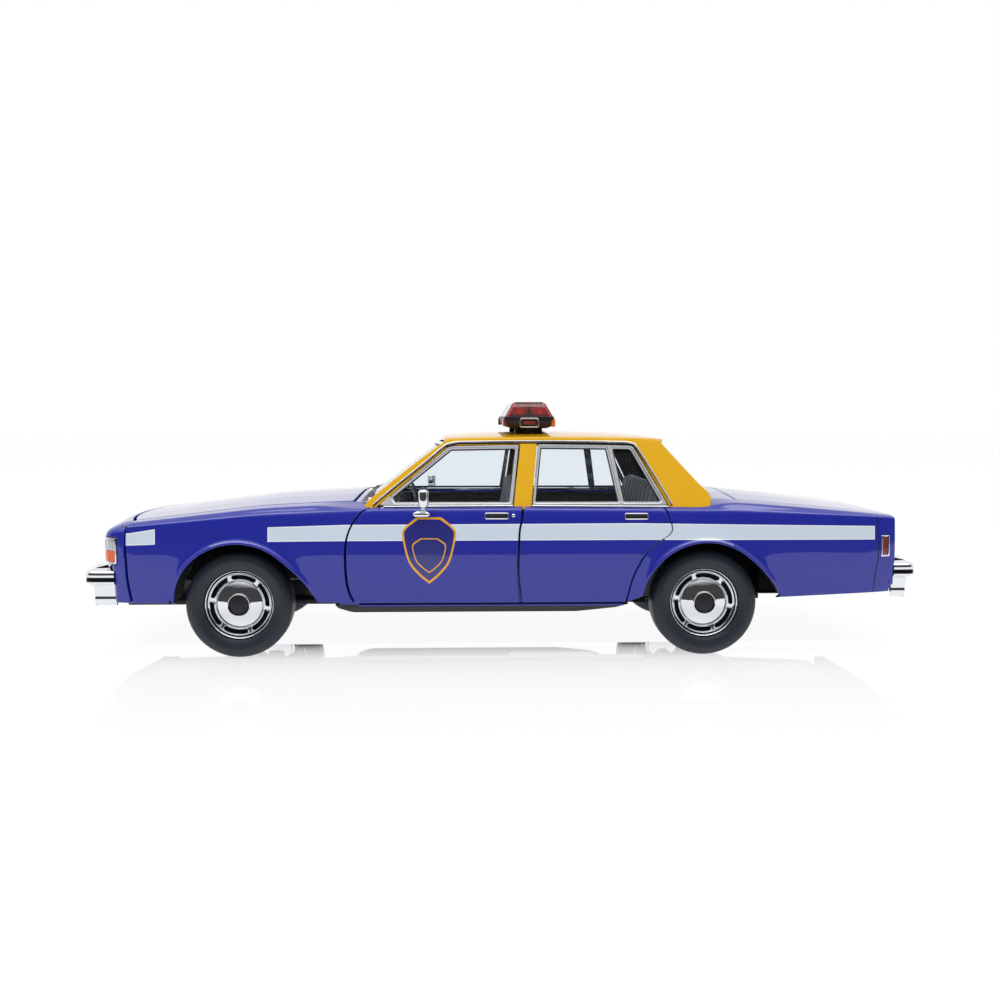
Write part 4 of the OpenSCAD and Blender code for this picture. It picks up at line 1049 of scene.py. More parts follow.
SCREEN = bowed_glass(-45.3, 54.2, -19.2, 75.2, 46.4, 37.0, 4.2, -1)
BACKLIGHT = bowed_glass(73.6, 55.0, 58.6, 74.4, 46.2, 36.6, 1.2, 1)
glass_line = box_path(-39.2, 39.2, 0.6, 31.4, 1.5, 1.6)
for name, sheet, node in (("windscreen_glass", SCREEN, "windscreen"), ("rear_glass", BACKLIGHT, "rear_window")):
    single(name, panel_mesh(glass_line, sheet, edge=0.12, depth=1.0, spacing=2.6, lift=-0.35), stands_for=[node],
           **CLEAR)
    points, faces, marks = join((*strip(shrink(glass_line, 0.2), sheet, 1.5, 0.35, closed=True), 0),
                                (*strip(shrink(glass_line, 1.0), sheet, 0.5, 0.15, closed=True), 1))
    piece(name + "_surround", points, faces, ("vacuum_plating", "satin_black_abs"), slot="plated_plastic",
          marks=marks)
print("windscreen and rear window ready")

# %% [markdown]
# ## Lathed, lofted and swept parts
# Wheels and tyres are turned, lamp bodies are lofted between rounded rings, and bumpers are one section
# swept along a plan line. Each helper returns closed shells.

# %% Shape helpers
def lathe(profile, place, count=120, closed=True, out=-1):
    """Turns (radius, depth) pairs about an axis along y. A radius of 0 closes the end at one point."""
    points, faces, rows = [], [], []
    for r, d in profile:
        turns = [0] if r == 0 else [2 * math.pi * k / count for k in range(count)]
        rows.append(list(range(len(points), len(points) + len(turns))))
        points += [(place[0] + r * math.cos(t), place[1] + out * d, place[2] + r * math.sin(t)) for t in turns]
    pairs = list(zip(rows, rows[1:])) + ([(rows[-1], rows[0])] if closed else [])
    for a, b in pairs:
        for k in range(count):
            j = (k + 1) % count
            loop = [a[k % len(a)], a[j % len(a)], b[j % len(b)], b[k % len(b)]]
            faces.append(tuple(dict.fromkeys(loop)))
    return points, [face for face in faces if len(face) > 2]


def loft(rings, caps=True):
    """Joins closed rings that have the same number of points."""
    m = len(rings[0])
    points = [tuple(q) for ring in rings for q in ring]
    faces = [(i * m + k, i * m + (k + 1) % m, (i + 1) * m + (k + 1) % m, (i + 1) * m + k)
             for i in range(len(rings) - 1) for k in range(m)]
    if caps:
        faces += [tuple(range(m))[::-1], tuple((len(rings) - 1) * m + k for k in range(m))]
    return points, faces


def ring(x0, x1, y0, y1, z, radius, per=6):
    """A level rounded rectangle with a fixed number of points."""
    out = []
    for cx, cy, first in ((x1, y1, 0), (x0, y1, 90), (x0, y0, 180), (x1, y0, 270)):
        sx, sy = (1 if cx == x1 else -1), (1 if cy == y1 else -1)
        for k in range(per + 1):
            t = math.radians(first + 90 * k / per)
            out.append((cx - sx * radius + radius * math.cos(t), cy - sy * radius + radius * math.sin(t), z))
    return out


def block(x0, x1, y0, y1, z0, z1, radius=0.5, edge=0.3):
    """A box with rounded uprights and softly rolled top and bottom edges."""
    steps = [(0, edge), (edge * 0.3, edge * 0.3), (edge, 0)]
    levels = [(z0 + up, q) for up, q in steps] + [(z1 - up, q) for up, q in reversed(steps)]
    return loft([ring(x0 + q, x1 - q, y0 + q, y1 - q, z, max(radius - q, 0.05)) for z, q in levels])


def sweep(path, section, turn=-1):
    """Sweeps a closed section of (outwards, height) pairs along a level path."""
    q = np.array(path)
    ahead = np.gradient(q, axis=0)
    ahead /= np.linalg.norm(ahead, axis=1, keepdims=True)
    out = np.stack([ahead[:, 1], -ahead[:, 0]], 1) * turn
    rings = [[(*(p + n * d), z) for d, z in section] for p, n in zip(q, out)]
    return loft(rings)


def tube(path, radius, count=12):
    """A round bar along a path in space, with closed ends."""
    q = np.array(path, float)
    ahead = np.gradient(q, axis=0)
    ahead /= np.linalg.norm(ahead, axis=1, keepdims=True)
    up = np.array([0.0, 0.0, 1.0]) if abs(ahead[0][2]) < 0.9 else np.array([0.0, 1.0, 0.0])
    rings = []
    for p, t in zip(q, ahead):
        side = np.cross(t, up)
        side /= np.linalg.norm(side)
        up = np.cross(side, t)
        rings.append([p + radius * (side * math.cos(a) + up * math.sin(a))
                      for a in (2 * math.pi * k / count for k in range(count))])
    return loft(rings)


def flat_sheet(make):
    """A flat surface over two lengths, from a function of both."""
    us, vs = np.array([-200.0, 200.0]), np.array([-200.0, 200.0])
    u, v = np.meshgrid(us, vs, indexing="ij")
    return Sheet(us, vs, np.stack(make(u, v), -1).astype(float))


TO_LEFT = flat_sheet(lambda u, v: (u, 0 * u, v))
TO_REAR = flat_sheet(lambda u, v: (0 * u, u, v))
print("shape helpers ready")

# %% [markdown]
# ## Wheels and tyres
# The tyre is smooth rubber with a rounded shoulder. The plated wheel has a double bright outer ring, six
# rounded slots, a domed disc and a black cap, like the small steel wheels of the real sedan.

# %% Tyres and wheels
SLOT_IN, SLOT_OUT, SLOT_HALF, SLOT_FIRST = 9.05, 10.35, 24.5, 21.0
SLOT_MIDDLE, SLOT_REACH = (SLOT_IN + SLOT_OUT) / 2, (SLOT_OUT - SLOT_IN) / 2
TROUGH = (8.6, 10.75)
BEAD_R, LINE_R = 13.4, 16.9
tyre_side = curve([(12.35, 3.4), (12.3, 4.7), (12.9, 5.35), (14.2, 5.95), (15.8, 6.2), (17.1, 5.7), (18.0, 4.9),
                   (18.5, 3.9), (18.62, 3.0), (TYRE_R, 1.5)], 0.35)
tyre_ring = tyre_side + [(r, -d) for r, d in reversed(tyre_side)]
tyre_ring = [(r - 0.1 * math.exp(-((r - BEAD_R) / 0.12) ** 2),
              d - math.copysign(0.13, d) * math.exp(-((r - LINE_R) / 0.14) ** 2)) for r, d in tyre_ring]
face_height = table((0, 5.1), (3.3, 4.85), (3.4, 4.5), (3.65, 5.35), (3.85, 5.45), (4.05, 5.35), (4.15, 4.95),
                    (5, 4.75), (6, 4.4), (6.8, 4.08), (7.6, 3.7), (8.2, 3.3), (8.4, 2.85), (8.55, 2.65), (10.6, 2.9),
                    (10.8, 3.2), (10.95, 3.3), (11.1, 3.2), (11.2, 2.75), (11.32, 2.7), (11.42, 3.1), (11.7, 3.9),
                    (11.9, 4.05), (12.1, 3.95), (12.3, 3.5), (12.55, 2.6))


def slot_gap(turn, r):
    """Distance from the edge of the nearest slot, negative inside it."""
    off = abs((turn - SLOT_FIRST + 30) % 60 - 30)
    a = math.radians(off) * SLOT_MIDDLE - (math.radians(SLOT_HALF) * SLOT_MIDDLE - SLOT_REACH)
    return math.hypot(max(a, 0), r - SLOT_MIDDLE) - SLOT_REACH if a > 0 else abs(r - SLOT_MIDDLE) - SLOT_REACH


def wheel_face(place, out, count=240):
    """The wheel's outer side as a polar grid: dished rings, slots with bright edges, a dome and a cap. Slot floors and
    one narrow groove are near black as painted shade.
    """
    radii = [0.0, 1.2, 2.4, 3.0, 3.3, 3.4, 3.5, 3.65, 3.85, 4.05, 4.15, 4.3, 5, 6, 6.8, 7.2, 7.6, 7.9, 8.2, 8.3] \
        + list(np.arange(8.4, TROUGH[1], 0.12)) \
        + [10.85, 10.95, 11.1, 11.2, 11.32, 11.42, 11.55, 11.7, 11.9, 12.1, 12.3, 12.45, 12.55]
    points, marks, rows = [], [], []
    for r in radii:
        steps = 1 if r == 0 else count
        rows.append(list(range(len(points), len(points) + steps)))
        in_trough = TROUGH[0] < r < TROUGH[1]
        for k in range(steps):
            turn = 360 * k / count
            gap = slot_gap(turn, r)
            y = float(face_height(r))
            if in_trough:
                y += 0.35 * math.exp(-((gap - 0.14) / 0.13) ** 2) - 1.5 * max(0, min(1, 0.35 - gap / 0.3))
            t = math.radians(turn)
            points.append((place[0] + r * math.cos(t), place[1] + out * y, place[2] + r * math.sin(t)))
            # Slot floors and the groove between the two bright rings get the near-black finish as painted shade.
            dark = (gap < -0.06 and in_trough) or 11.15 < r < 11.35
            marks.append(1 if dark else 2 if r < 3.35 else 0)
    faces, face_marks = [], []
    for a, b in zip(rows, rows[1:]):
        for k in range(count):
            j = (k + 1) % count
            face = tuple(dict.fromkeys([a[k % len(a)], a[j % len(a)], b[j], b[k]]))
            faces.append(face if out < 0 else face[::-1])
            votes = [marks[i] for i in face]
            face_marks.append(max(votes, key=votes.count) if min(votes) == 0 and votes.count(0) < 3 else votes[0])
    return points, faces, face_marks


def wheel(end, word, out, axle_x):
    """One tyre and its wheel. The rear ones share a body and their CAD nodes, the front ones have their own."""
    place = (axle_x, out * WHEEL_Y, TYRE_R)
    front = end == "front"
    body = "wheel_front_" + word if front else "wheels_rear"
    rubber, skin = lathe(tyre_ring, place, 160, out=out)
    piece("tyre_%s_%s" % (end, word), rubber, skin, "tyre_rubber", body=body, slot="tyre_rubber", merge=0.001,
          stands_for=["front_tyre_" + word if front else "rear_tyres"], sharp=50)
    barrel = [(12.55, 2.6), (12.5, 0.5), (11.9, -0.6), (11.9, -3.8), (12.6, -4.9), (12.4, -5.1), (11.5, -4.3),
              (11.3, -1.0), (9.5, -0.8), (4.2, -2.2), (3.0, -3.6), (1.7, -3.6), (1.6, 0.7), (12.2, 0.7)]
    points, faces, marks = join((*lathe(barrel, place, 96, out=out), 0), wheel_face(place, out))
    piece("wheel_%s_%s" % (end, word), points, faces, ("vacuum_plating", "black_gap", "satin_black_abs"), body=body,
          slot="plated_plastic", marks=marks, sharp=40,
          stands_for=["front_wheel_" + word if front else "rear_wheels"])


for word, out in (("left", -1), ("right", 1)):
    wheel("front", word, out, AXLE_F)
    wheel("rear", word, out, AXLE_R)
p, f = lathe([(0, -40.5), (1.5, -40.5), (1.5, 40.5), (0, 40.5)], (AXLE_R, 0, TYRE_R), 32, closed=False)
piece("rear_axle_pin", p, f, "silver_paint", body="wheels_rear", slot="steel_pin", merge=0.001)
print("wheels ready")

# %% [markdown]
# ## Light bar
# Two red end domes and a clear middle one, each a thin hollow shell, stand on a black bowl-shaped body. Two
# round reflectors and their dark motors show through each red dome.

# %% Light bar
BAR_X, BAR_FOOT, BAR_BASE, BAR_TOP = 11.4, 77.0, 83.8, 89.7
DOME_HALF, DOME_WALL, BAR_FLOOR, BAR_END = 9.05, 0.7, 84.3, 31.1


def dome(y0, y1, lean0, lean1):
    """A hollow lamp dome, open at its foot. The ends lean in by their own amounts."""
    def at(up, thick):
        k = up / (BAR_TOP - BAR_BASE)
        roll = 0.9 * max(0, (k - 0.86) / 0.14) ** 2
        slope = 3.3 * k + roll + thick
        return ring(BAR_X - DOME_HALF + slope, BAR_X + DOME_HALF - slope, y0 + lean0 * k + roll + thick,
                    y1 - lean1 * k - roll - thick, BAR_BASE + up - (thick if k >= 1 else 0), 0.9)
    ups = [(BAR_TOP - BAR_BASE) * k for k in (0, 0.45, 0.86, 0.93, 0.975, 1)]
    points, faces = loft([at(up, 0) for up in ups], caps=False)
    more, back = loft([at(up, DOME_WALL) for up in ups], caps=False)
    start, m = len(points), len(points) // len(ups)
    lid = tuple((len(ups) - 1) * m + k for k in range(m))
    faces += [lid] + [tuple(i + start for i in face)[::-1] for face in back + [lid]]
    faces += [((k + 1) % m, k, start + k, start + (k + 1) % m) for k in range(m)]
    return points + more, faces


for name, y0, y1, lean0, lean1, look in (("dome_left", -30.5, -10.3, 3.0, 0.1, "red_styrene"),
                                         ("dome_clear", -10.1, 10.1, 0.1, 0.1, "lamp_styrene"),
                                         ("dome_right", 10.3, 30.5, 0.1, 3.0, "red_styrene")):
    p, f = dome(y0, y1, lean0, lean1)
    piece(name, p, f, look, slot="red_lens" if "red" in look else "clear_plastic", stands_for=["lightbar_domes"])
bowl = []
for k in range(9):
    t = math.radians(90 * k / 8)
    grow = math.sin(t) ** 0.8 if k else 0.0
    bowl.append(ring(BAR_X - 5.6 - 3.3 * grow, BAR_X + 5.6 + 3.3 * grow, -27.6 - 2.7 * grow, 27.6 + 2.7 * grow,
                     80.05 + 3.0 * (1 - math.cos(t)), 1.6))
bowl += [ring(BAR_X - 9.15, BAR_X + 9.15, -30.6, 30.6, z, 1.2) for z in (83.15, 84.2)]
bowl += [ring(BAR_X - 8.9, BAR_X + 8.9, -30.35, 30.35, z, 1.0) for z in (84.35, 84.0)]
parts = [(*loft(bowl), 0)]
arch_hole = [(2.1 * math.cos(math.radians(a)), 77.2 + 2.3 * math.sin(math.radians(a))) for a in range(0, 181, 15)]
for side in (-1, 1):
    leg = [(BAR_X - 5.2, BAR_FOOT)] + [(BAR_X - x, z) for x, z in arch_hole] \
        + [(BAR_X + 5.2, BAR_FOOT), (BAR_X + 4.9, 80.4), (BAR_X - 4.9, 80.4)]
    p, f, _, _ = panel_mesh(straight(leg + leg[:1])[:-1], TO_LEFT, spacing=2, edge=0.15, depth=3.8,
                            lift=24.0 * -side + 1.9)
    parts.append((p, f, 0))
    parts.append((*block(BAR_X - 1.2, BAR_X + 1.2, side * 26 - 1.5, side * 26 + 1.5, 77.6, 80.3), 0))
points, faces, marks = join(*parts)
piece("light_bar_body", points, faces, "satin_black_abs", slot="black_plastic", stands_for=["lightbar_base"],
      marks=marks)
DISH = [(2.5, 1.5), (2.45, 1.3), (1.9, 0.4), (1.0, -0.1), (0, -0.2), (0, -0.6), (1.2, -0.6), (2.2, 0.0),
        (2.75, 1.5)]


def about(x, y, half_x, half_y, z0, z1):
    """A small block inside the bar, round a point measured from its middle."""
    return block(BAR_X + x - half_x, BAR_X + x + half_x, y - half_y, y + half_y, z0, z1)


inside = []
for side in (-1, 1):
    for dx in (-3.7, 3.7):
        inside.append((*lathe(DISH, (BAR_X + dx, side * 25.2, 86.9), 40, out=side), 0))
        inside.append((*about(dx, side * 22.6, 1.0, 1.2, BAR_FLOOR, 87.6), 1))
    inside.append((*about(0, side * 26.5, 0.5, 0.4, BAR_FLOOR, 88.6), 1))
    inside.append((*about(0, side * 20.4, 7.6, 9.0, BAR_FLOOR, 84.9), 1))
    inside.append((*about(0, side * 16.2, 6.0, 0.3, 84.5, 87.4), 0))
inside.append((*about(0, 0, 5.4, 8.6, BAR_FLOOR, 86.6), 1))
points, faces, marks = join(*inside)
piece("light_bar_reflectors", points, faces, ("vacuum_plating", "satin_black_abs"), slot="plated_plastic",
      marks=marks, merge=0.001)

frame_out = rounded([(BAR_X - 3.5, 80.3), (BAR_X + 3.5, 80.3), (BAR_X + 3.5, 83.9), (BAR_X - 3.5, 83.9)], 0.9, 0.6)
frame_in, lamp = shrink(frame_out, 0.5), shrink(frame_out, 1.15)
for word, side in (("left", 1), ("right", -1)):
    bezel = panel_mesh(frame_out, TO_LEFT, holes=[frame_in], spacing=2, edge=0.2, depth=1.6, lift=BAR_END)
    # The well inside each bezel is near black: painted shade in the recess.
    well = panel_mesh(frame_in, TO_LEFT, spacing=2, edge=0.05, depth=1.4, lift=BAR_END - 0.35)
    lens = panel_mesh(lamp, TO_LEFT, spacing=2, edge=0.2, depth=0.6, lift=BAR_END - 0.05)
    red = (*block(BAR_X - 9.6, BAR_X - 8.2, -30.3, -25.2, 80.9, 83.7, 0.5), 2)
    amber = (*block(BAR_X + 8.1, BAR_X + 9.5, -30.3, -25.2, 80.6, 83.6, 0.5), 3)
    points, faces, marks = join((bezel[0], bezel[1], 0), (well[0], well[1], 1), (lens[0], lens[1], 2), red, amber)
    piece("light_bar_end_" + word, points, faces, ("vacuum_plating", "black_gap", "red_lens_face", "amber_lens_face"),
          slot="plated_plastic", marks=marks, mirror=side < 0)
print("light bar ready")

# %% [markdown]
# ## The two ends
# The nose is one plastic moulding that wraps from fender to fender, so it is a surface of its own: a level
# plan line, carried up the front and rolled back over the top. The bumpers are swept sections.

# %% The nose surface
nose_plan = curve([(-127.6, -51.1), (-130, -50.5), (-133, -49.6), (-135.6, -48.6), (-137.0, -47.2), (-137.9, -45.2),
                   (-138.5, -41.2), (-139.5, -27), (-140.2, -12), (-140.5, 0)], 0.5)
nose_plan = np.array(nose_plan + [(x, -y) for x, y in reversed(nose_plan[:-1])])
run = np.concatenate([[0], np.cumsum(np.linalg.norm(np.diff(nose_plan, axis=0), axis=1))])
NOSE_U, NOSE_Z = run[-1] / 2, 43.3
nu, nv = np.arange(-NOSE_U, NOSE_U + 0.01, NOSE_U / 120), np.arange(18, 60.1, 0.5)
px = np.interp(NOSE_U - nu, run, nose_plan[:, 0])
py = np.interp(NOSE_U - nu, run, nose_plan[:, 1])
ahead = np.stack([np.gradient(px), np.gradient(py)], 1)
ahead /= np.linalg.norm(ahead, axis=1, keepdims=True)
facing = np.clip((np.abs(ahead[:, 1]) - 0.3) / 0.65, 0, 1)
facing = facing * facing * (3 - 2 * facing)
side_of = np.where(py < 0, -1, 1)
front_part = np.minimum(np.abs(py), LID_HALF)
past = np.clip((np.abs(nu) - NOSE_U + run[np.argmin(np.abs(nose_plan[:len(run) // 2, 1] + LID_HALF))]) / 14.5, 0, 1)
edge_x = -128.2 - 6.2 * (1 - (front_part / LID_HALF) ** 2.4) - 1.8 * past
edge_y = np.where(past > 0, (LID_HALF + 0.2 + 5.8 * past) * side_of, py)
edge_z = 48.2 - 0.3 * front_part / LID_HALF - 1.7 * past
ROLL = [18, NOSE_Z, 44.6, 46.3, 49, 52, 55.5, 60]
share = np.interp(nv, ROLL, [0, 0, 0.05, 0.18, 0.41, 0.67, 1.0, 1.42])[None]
rise = np.interp(nv, ROLL, [0, 0, 0.26, 0.5, 0.74, 0.94, 1.0, 1.02])[None]
tuck = side_in(np.minimum(nv, 43) - BELT)[None]
low = np.clip((33.4 - nv) / 1.2, 0, 1)[None]
behind_bar = np.clip((-135.3 - px) / 0.8, 0, 1)[:, None] * low
grid_x = px[:, None] + (edge_x - px)[:, None] * share + facing[:, None] * (0.5 * tuck + 3.0 * low)
grid_y = py[:, None] + (edge_y - py)[:, None] * share
grid_y = grid_y - side_of[:, None] * ((1 - facing[:, None]) * tuck + 4.8 * behind_bar * (np.abs(py) > 30)[:, None])
grid_z = np.minimum(nv, NOSE_Z)[None] + (edge_z - NOSE_Z)[:, None] * rise
NOSE = Sheet(nu, nv, np.stack([grid_x, grid_y, grid_z], -1), soft_u=1.0, soft_v=0.8)


def nose_u(x=None, y=None):
    """The plan length of the nose at a length along the car, on its side, or at a width, on its front."""
    half_plan = nose_plan[:len(nose_plan) // 2 + 1]
    at = int(np.argmin(np.abs(half_plan[:, 0] - x) if x is not None else np.abs(half_plan[:, 1] + y)))
    return NOSE_U - run[at]


def mirrored(loops):
    """The same outlines on the other side of a surface's middle."""
    return [[(-u, v) for u, v in loop] for loop in loops]


side_edge = [(float(NOSE_U + x - GAP + 127.6), z) for x, z in fender_front] \
    + [(NOSE_U - 2.3, 50), (NOSE_U - 2.6, 55.0)]
brow = [(u, 55.0) for u in np.arange(NOSE_U - 4, 4 - NOSE_U, -1.0)]
nose_line = tidy(side_edge + brow + [(-u, v) for u, v in reversed(side_edge)]
                 + straight([(-NOSE_U + 1, 19.5), (NOSE_U - 1, 19.5)])[1:-1])
LAMP_ROW = (33.0, 42.8)
corner_box = box_path(nose_u(y=44.0), nose_u(x=-132.7), *LAMP_ROW, 0.9)
lamp_box = box_path(21.4, 43.1, *LAMP_ROW, 0.8)
grille_box = box_path(-20.5, 20.5, *LAMP_ROW, 0.8)
nose_holes = [corner_box, lamp_box, grille_box] + mirrored([corner_box, lamp_box])
single("nose_skin", panel_mesh(nose_line, NOSE, holes=nose_holes, spacing=1.5, edge=0.3, depth=1.5),
       "gloss_enamel_blue", slot="blue_paint", stands_for=["nose_panel"])
# A sheet behind the lamp openings and the grille, in the near-black gap finish, is painted shade in the nose's
# openings.
back_line = box_path(-NOSE_U + 2.8, NOSE_U - 2.8, 31.5, 44.2, 1.0, 1.5)
single("nose_opening_shade", panel_mesh(back_line, NOSE, spacing=2.0, lift=-1.9, depth=0.5), "black_gap",
       slot="black_plastic")


def together(groups):
    """Joins whole panels into one."""
    points, faces, marks = join(*[(p, f, list(m)) for p, f, m, _ in groups])
    return points, faces, marks, [corner for group in groups for corner in group[3]]


def lens_set(sheet, box, holes, upper, lift, lower=None, split=0.0):
    """A plated bezel with openings and a lens in each. Below the split height a lens has its lower look."""
    groups = [panel_mesh(box, sheet, holes=holes, spacing=1.2, edge=0.22, depth=1.6, lift=lift)]
    region = [(lower, [(-300, 0), (300, 0), (300, split), (-300, split)])] if lower else []
    for hole in holes:
        hole = hole if area(hole) > 0 else hole[::-1]
        p, f, m, n = panel_mesh(shrink(hole, 0.08), sheet, regions=region, spacing=0.8, edge=0.2, depth=1.0,
                                lift=lift - 0.25)
        groups.append((p, f, [k or upper for k in m], n))
    return together(groups)


LENSES = ("vacuum_plating", "clear_lens_face", "amber_lens_face", "red_lens_face", "headlamp_face")
bezel = shrink(corner_box, 0.3)
both_sides("corner_lamp_*", lens_set(NOSE, bezel, [shrink(bezel, 0.6)], 1, 0.15, lower=2, split=37.9), LENSES,
           slot="amber_lens", stands_for=["corner_lamps"])
pair = [box_path(y - 4.85, y + 4.85, 33.7, 42.1, 0.7) for y in (26.9, 37.5)]
both_sides("headlamp_pair_*", lens_set(NOSE, shrink(lamp_box, 0.25), pair, 4, -0.1), LENSES, slot="lamp_lens",
           stands_for=["headlamps"])
print("nose ready,", round(NOSE_U * 2, 1), "mm round its plan")

# %% [markdown]
# The grille is a plated egg-crate: one upright and one level bar are each repeated along a line by Geometry
# Nodes, since the mould is cut from equal bars, and a plated frame holds them.

# %% Grille bars
def bars_tree(material):
    """A node tree that repeats one bar along a line. Its inputs are the bar's size, the count and the step."""
    tree = bpy.data.node_groups.new("bars", "GeometryNodeTree")
    tree.interface.new_socket("Geometry", in_out="OUTPUT", socket_type="NodeSocketGeometry")
    for name, kind in (("Size", "NodeSocketVector"), ("Count", "NodeSocketInt"), ("Start", "NodeSocketVector"),
                       ("Step", "NodeSocketVector")):
        tree.interface.new_socket(name, in_out="INPUT", socket_type=kind)
    inputs = add(tree, "NodeGroupInput")
    line = add(tree, "GeometryNodeMeshLine", {"mode": "OFFSET"}, {"Count": inputs.outputs["Count"],
               "Start Location": inputs.outputs["Start"], "Offset": inputs.outputs["Step"]})
    bar = add(tree, "GeometryNodeMeshCube", None, {"Size": inputs.outputs["Size"]})
    spread = add(tree, "GeometryNodeInstanceOnPoints", None, {"Points": line.outputs[0], "Instance": bar.outputs[0]})
    real = add(tree, "GeometryNodeRealizeInstances", None, {0: spread.outputs[0]})
    coloured = add(tree, "GeometryNodeSetMaterial", {"Material": material}, {0: real.outputs[0]})
    add(tree, "NodeGroupOutput", None, {0: coloured.outputs[0]})
    return tree


def bars(size, count, start, step):
    """Points and faces, in millimetres, of bars repeated by the node tree."""
    tree = bars_tree(FINISH["vacuum_plating"])
    holder = bpy.data.objects.new("bars_holder", bpy.data.meshes.new("bars_holder"))
    bpy.context.scene.collection.objects.link(holder)
    modifier = holder.modifiers.new("bars", "NODES")
    modifier.node_group = tree
    keys = {item.name: item.identifier for item in tree.interface.items_tree if item.in_out == "INPUT"}
    for name, value in (("Size", size), ("Count", count), ("Start", start), ("Step", step)):
        modifier[keys[name]] = value if isinstance(value, int) else [v * MM for v in value]
    made = bpy.data.meshes.new_from_object(holder.evaluated_get(bpy.context.evaluated_depsgraph_get()))
    points = [tuple(v.co / MM) for v in made.vertices]
    faces = [tuple(face.vertices) for face in made.polygons]
    holder.modifiers.clear()
    bpy.data.objects.remove(holder)
    return points, faces


upright = bars((1.2, 0.35, 9.2), 25, (-139.4, -19.2, 37.9), (0, 1.6, 0))
level = bars((1.4, 40.0, 0.3), 4, (-139.5, 0, 34.9), (0, 0, 2.0))
frame_bars = panel_mesh(shrink(grille_box, 0.2), NOSE, holes=[shrink(grille_box, 1.1)], spacing=1.5, edge=0.25,
                        depth=1.6, lift=0.1)
points, faces, marks = join((*upright, 0), (*level, 0), (frame_bars[0], frame_bars[1], 0))
piece("grille_bars", points, faces, "vacuum_plating", slot="plated_plastic", stands_for=["grille"])
print("grille:", len(faces), "faces")

# %% [markdown]
# A bumper is one plated moulding of constant section: an upright lower face, a ledge, a ribbed black rubber
# strip and a rounded top that runs back to the body. So the section is swept along the plan line.

# %% Bumpers
BAR_REACH, BEND = REAR, 3.2


def bar_plan(lead, way, bow):
    """Half a bumper's plan: the run along the side, a round corner and the bowed middle. A way of -1 is ahead."""
    x, y = lead[-1][0], lead[-1][1] + BEND
    turns = [math.radians(a) for a in range(15, 91, 15)]
    corner = [(x + way * BEND * math.sin(a), y - BEND * math.cos(a)) for a in turns]
    return lead + corner + [(way * (BAR_REACH - bow * (q / y) ** 2), q) for q in np.arange(-43, 0.1, 2.15)]


front_bar = bar_plan([(-134.0, -49.4), (-138, -49.35), (-141.4, -49.2)], -1, 5.1)
rear_bar = bar_plan([(140.2, -48.6), (142, -48.6), (145.2, -48.5)], 1, 1.3)
section = straight([(-3.5, 18.4), (-3.1, 19.4), (-2.9, 20.6), (-3.1, 21.6), (-3.0, 22.6), (-2.8, 24.0), (-2.5, 25.0),
                    (-1.9, 25.6), (-1.0, 26.1), (-0.3, 26.6), (-0.1, 26.9)], 0.6)
strip_start = len(section)
section += [(-0.1, 27.0), (-0.4, 27.05), (-0.4, 27.3), (-0.15, 27.45), (-0.4, 27.6), (-0.15, 27.75), (-0.4, 27.9),
            (-0.15, 28.05), (-0.4, 28.2), (-0.4, 28.55), (-0.1, 28.6)]
strip_end = len(section)
section += curve([(0.0, 28.9), (0.0, 29.7), (-0.35, 30.4), (-1.1, 30.9), (-4.0, 31.8), (-7.6, 32.6)], 0.5)
section += [(-7.6, 31.6), (-1.9, 29.9), (-1.9, 26.9), (-4.6, 25.0), (-4.6, 18.4)]


def bumper(name, plan, raise_by, node):
    """Sweeps the section along half a plan and its mirror image. The rubber strip gets its own finish."""
    path = straight(plan + [(x, -y) for x, y in reversed(plan[:-1])], 1.2)
    ahead = path[0][0] < 0
    shape = [(d, z + raise_by) for d, z in section][::1 if ahead else -1]
    points, faces = sweep(path, shape, turn=-1 if ahead else 1)
    m, marks = len(shape), []
    for face in faces:
        k = sorted(i % m for i in face)
        first = k[0] if ahead else m - 1 - k[-1]
        on_strip = len(face) == 4 and strip_start <= first < strip_end - 1 and k[-1] - k[0] < 3
        marks.append(1 if on_strip else 0)
    piece(name, points, faces, ("vacuum_plating", "satin_black_abs"), slot="plated_plastic", marks=marks, sharp=50,
          stands_for=[node], merge=0.001)


bumper("front_bumper_bar", front_bar, 0.0, "front_bumper")
bumper("rear_bumper_bar", rear_bar, 1.6, "rear_bumper")
print("bumpers ready")

# %% [markdown]
# The tail panel is part of the casting, with six square holes. Each tail lamp is a plated bezel and a fluted
# red lens pressed into its hole, and the narrow side marker on the quarter is made the same way.

# %% Tail panel, tail lamps and side markers
TAIL_LAMPS, TAIL_FACE = (18.5, 28.1, 37.7), 140.1
tail_line = rounded([(-48.0, 24.5), (48.0, 24.5), (48.2, 47.0), (42, 48.6), (-42, 48.6), (-48.2, 47.0)],
                    [1, 1, 1.5, 2, 2, 1.5], 1.5)
tail_boxes = [box_path(c - 4.5, c + 4.5, 36.8, 46.2, 0.7) for c in TAIL_LAMPS]
single("tail_skin", panel_mesh(tail_line, TO_REAR, holes=tail_boxes + mirrored(tail_boxes), spacing=2.5, edge=0.4,
       depth=1.5, lift=TAIL_FACE), "gloss_enamel_blue", slot="blue_paint", stands_for=["tail_panel"])
lamp_boxes = [shrink(box_path(-c - 4.5, -c + 4.5, 36.8, 46.2, 0.7), 0.12) for c in TAIL_LAMPS]
both_sides("tail_lamps_*", together([lens_set(TO_REAR, box, [shrink(box, 0.5)], 3, TAIL_FACE + 0.5)
           for box in lamp_boxes]), LENSES, slot="red_lens", stands_for=["tail_lamps"])
marker = on_side(box_path(134.9, 138.1, 34.8, 42.3, 0.35))
both_sides("side_marker_*", lens_set(BODY, marker, [shrink(marker, 0.55)], 3, 0.35), LENSES, slot="red_lens",
           stands_for=["side_markers"])
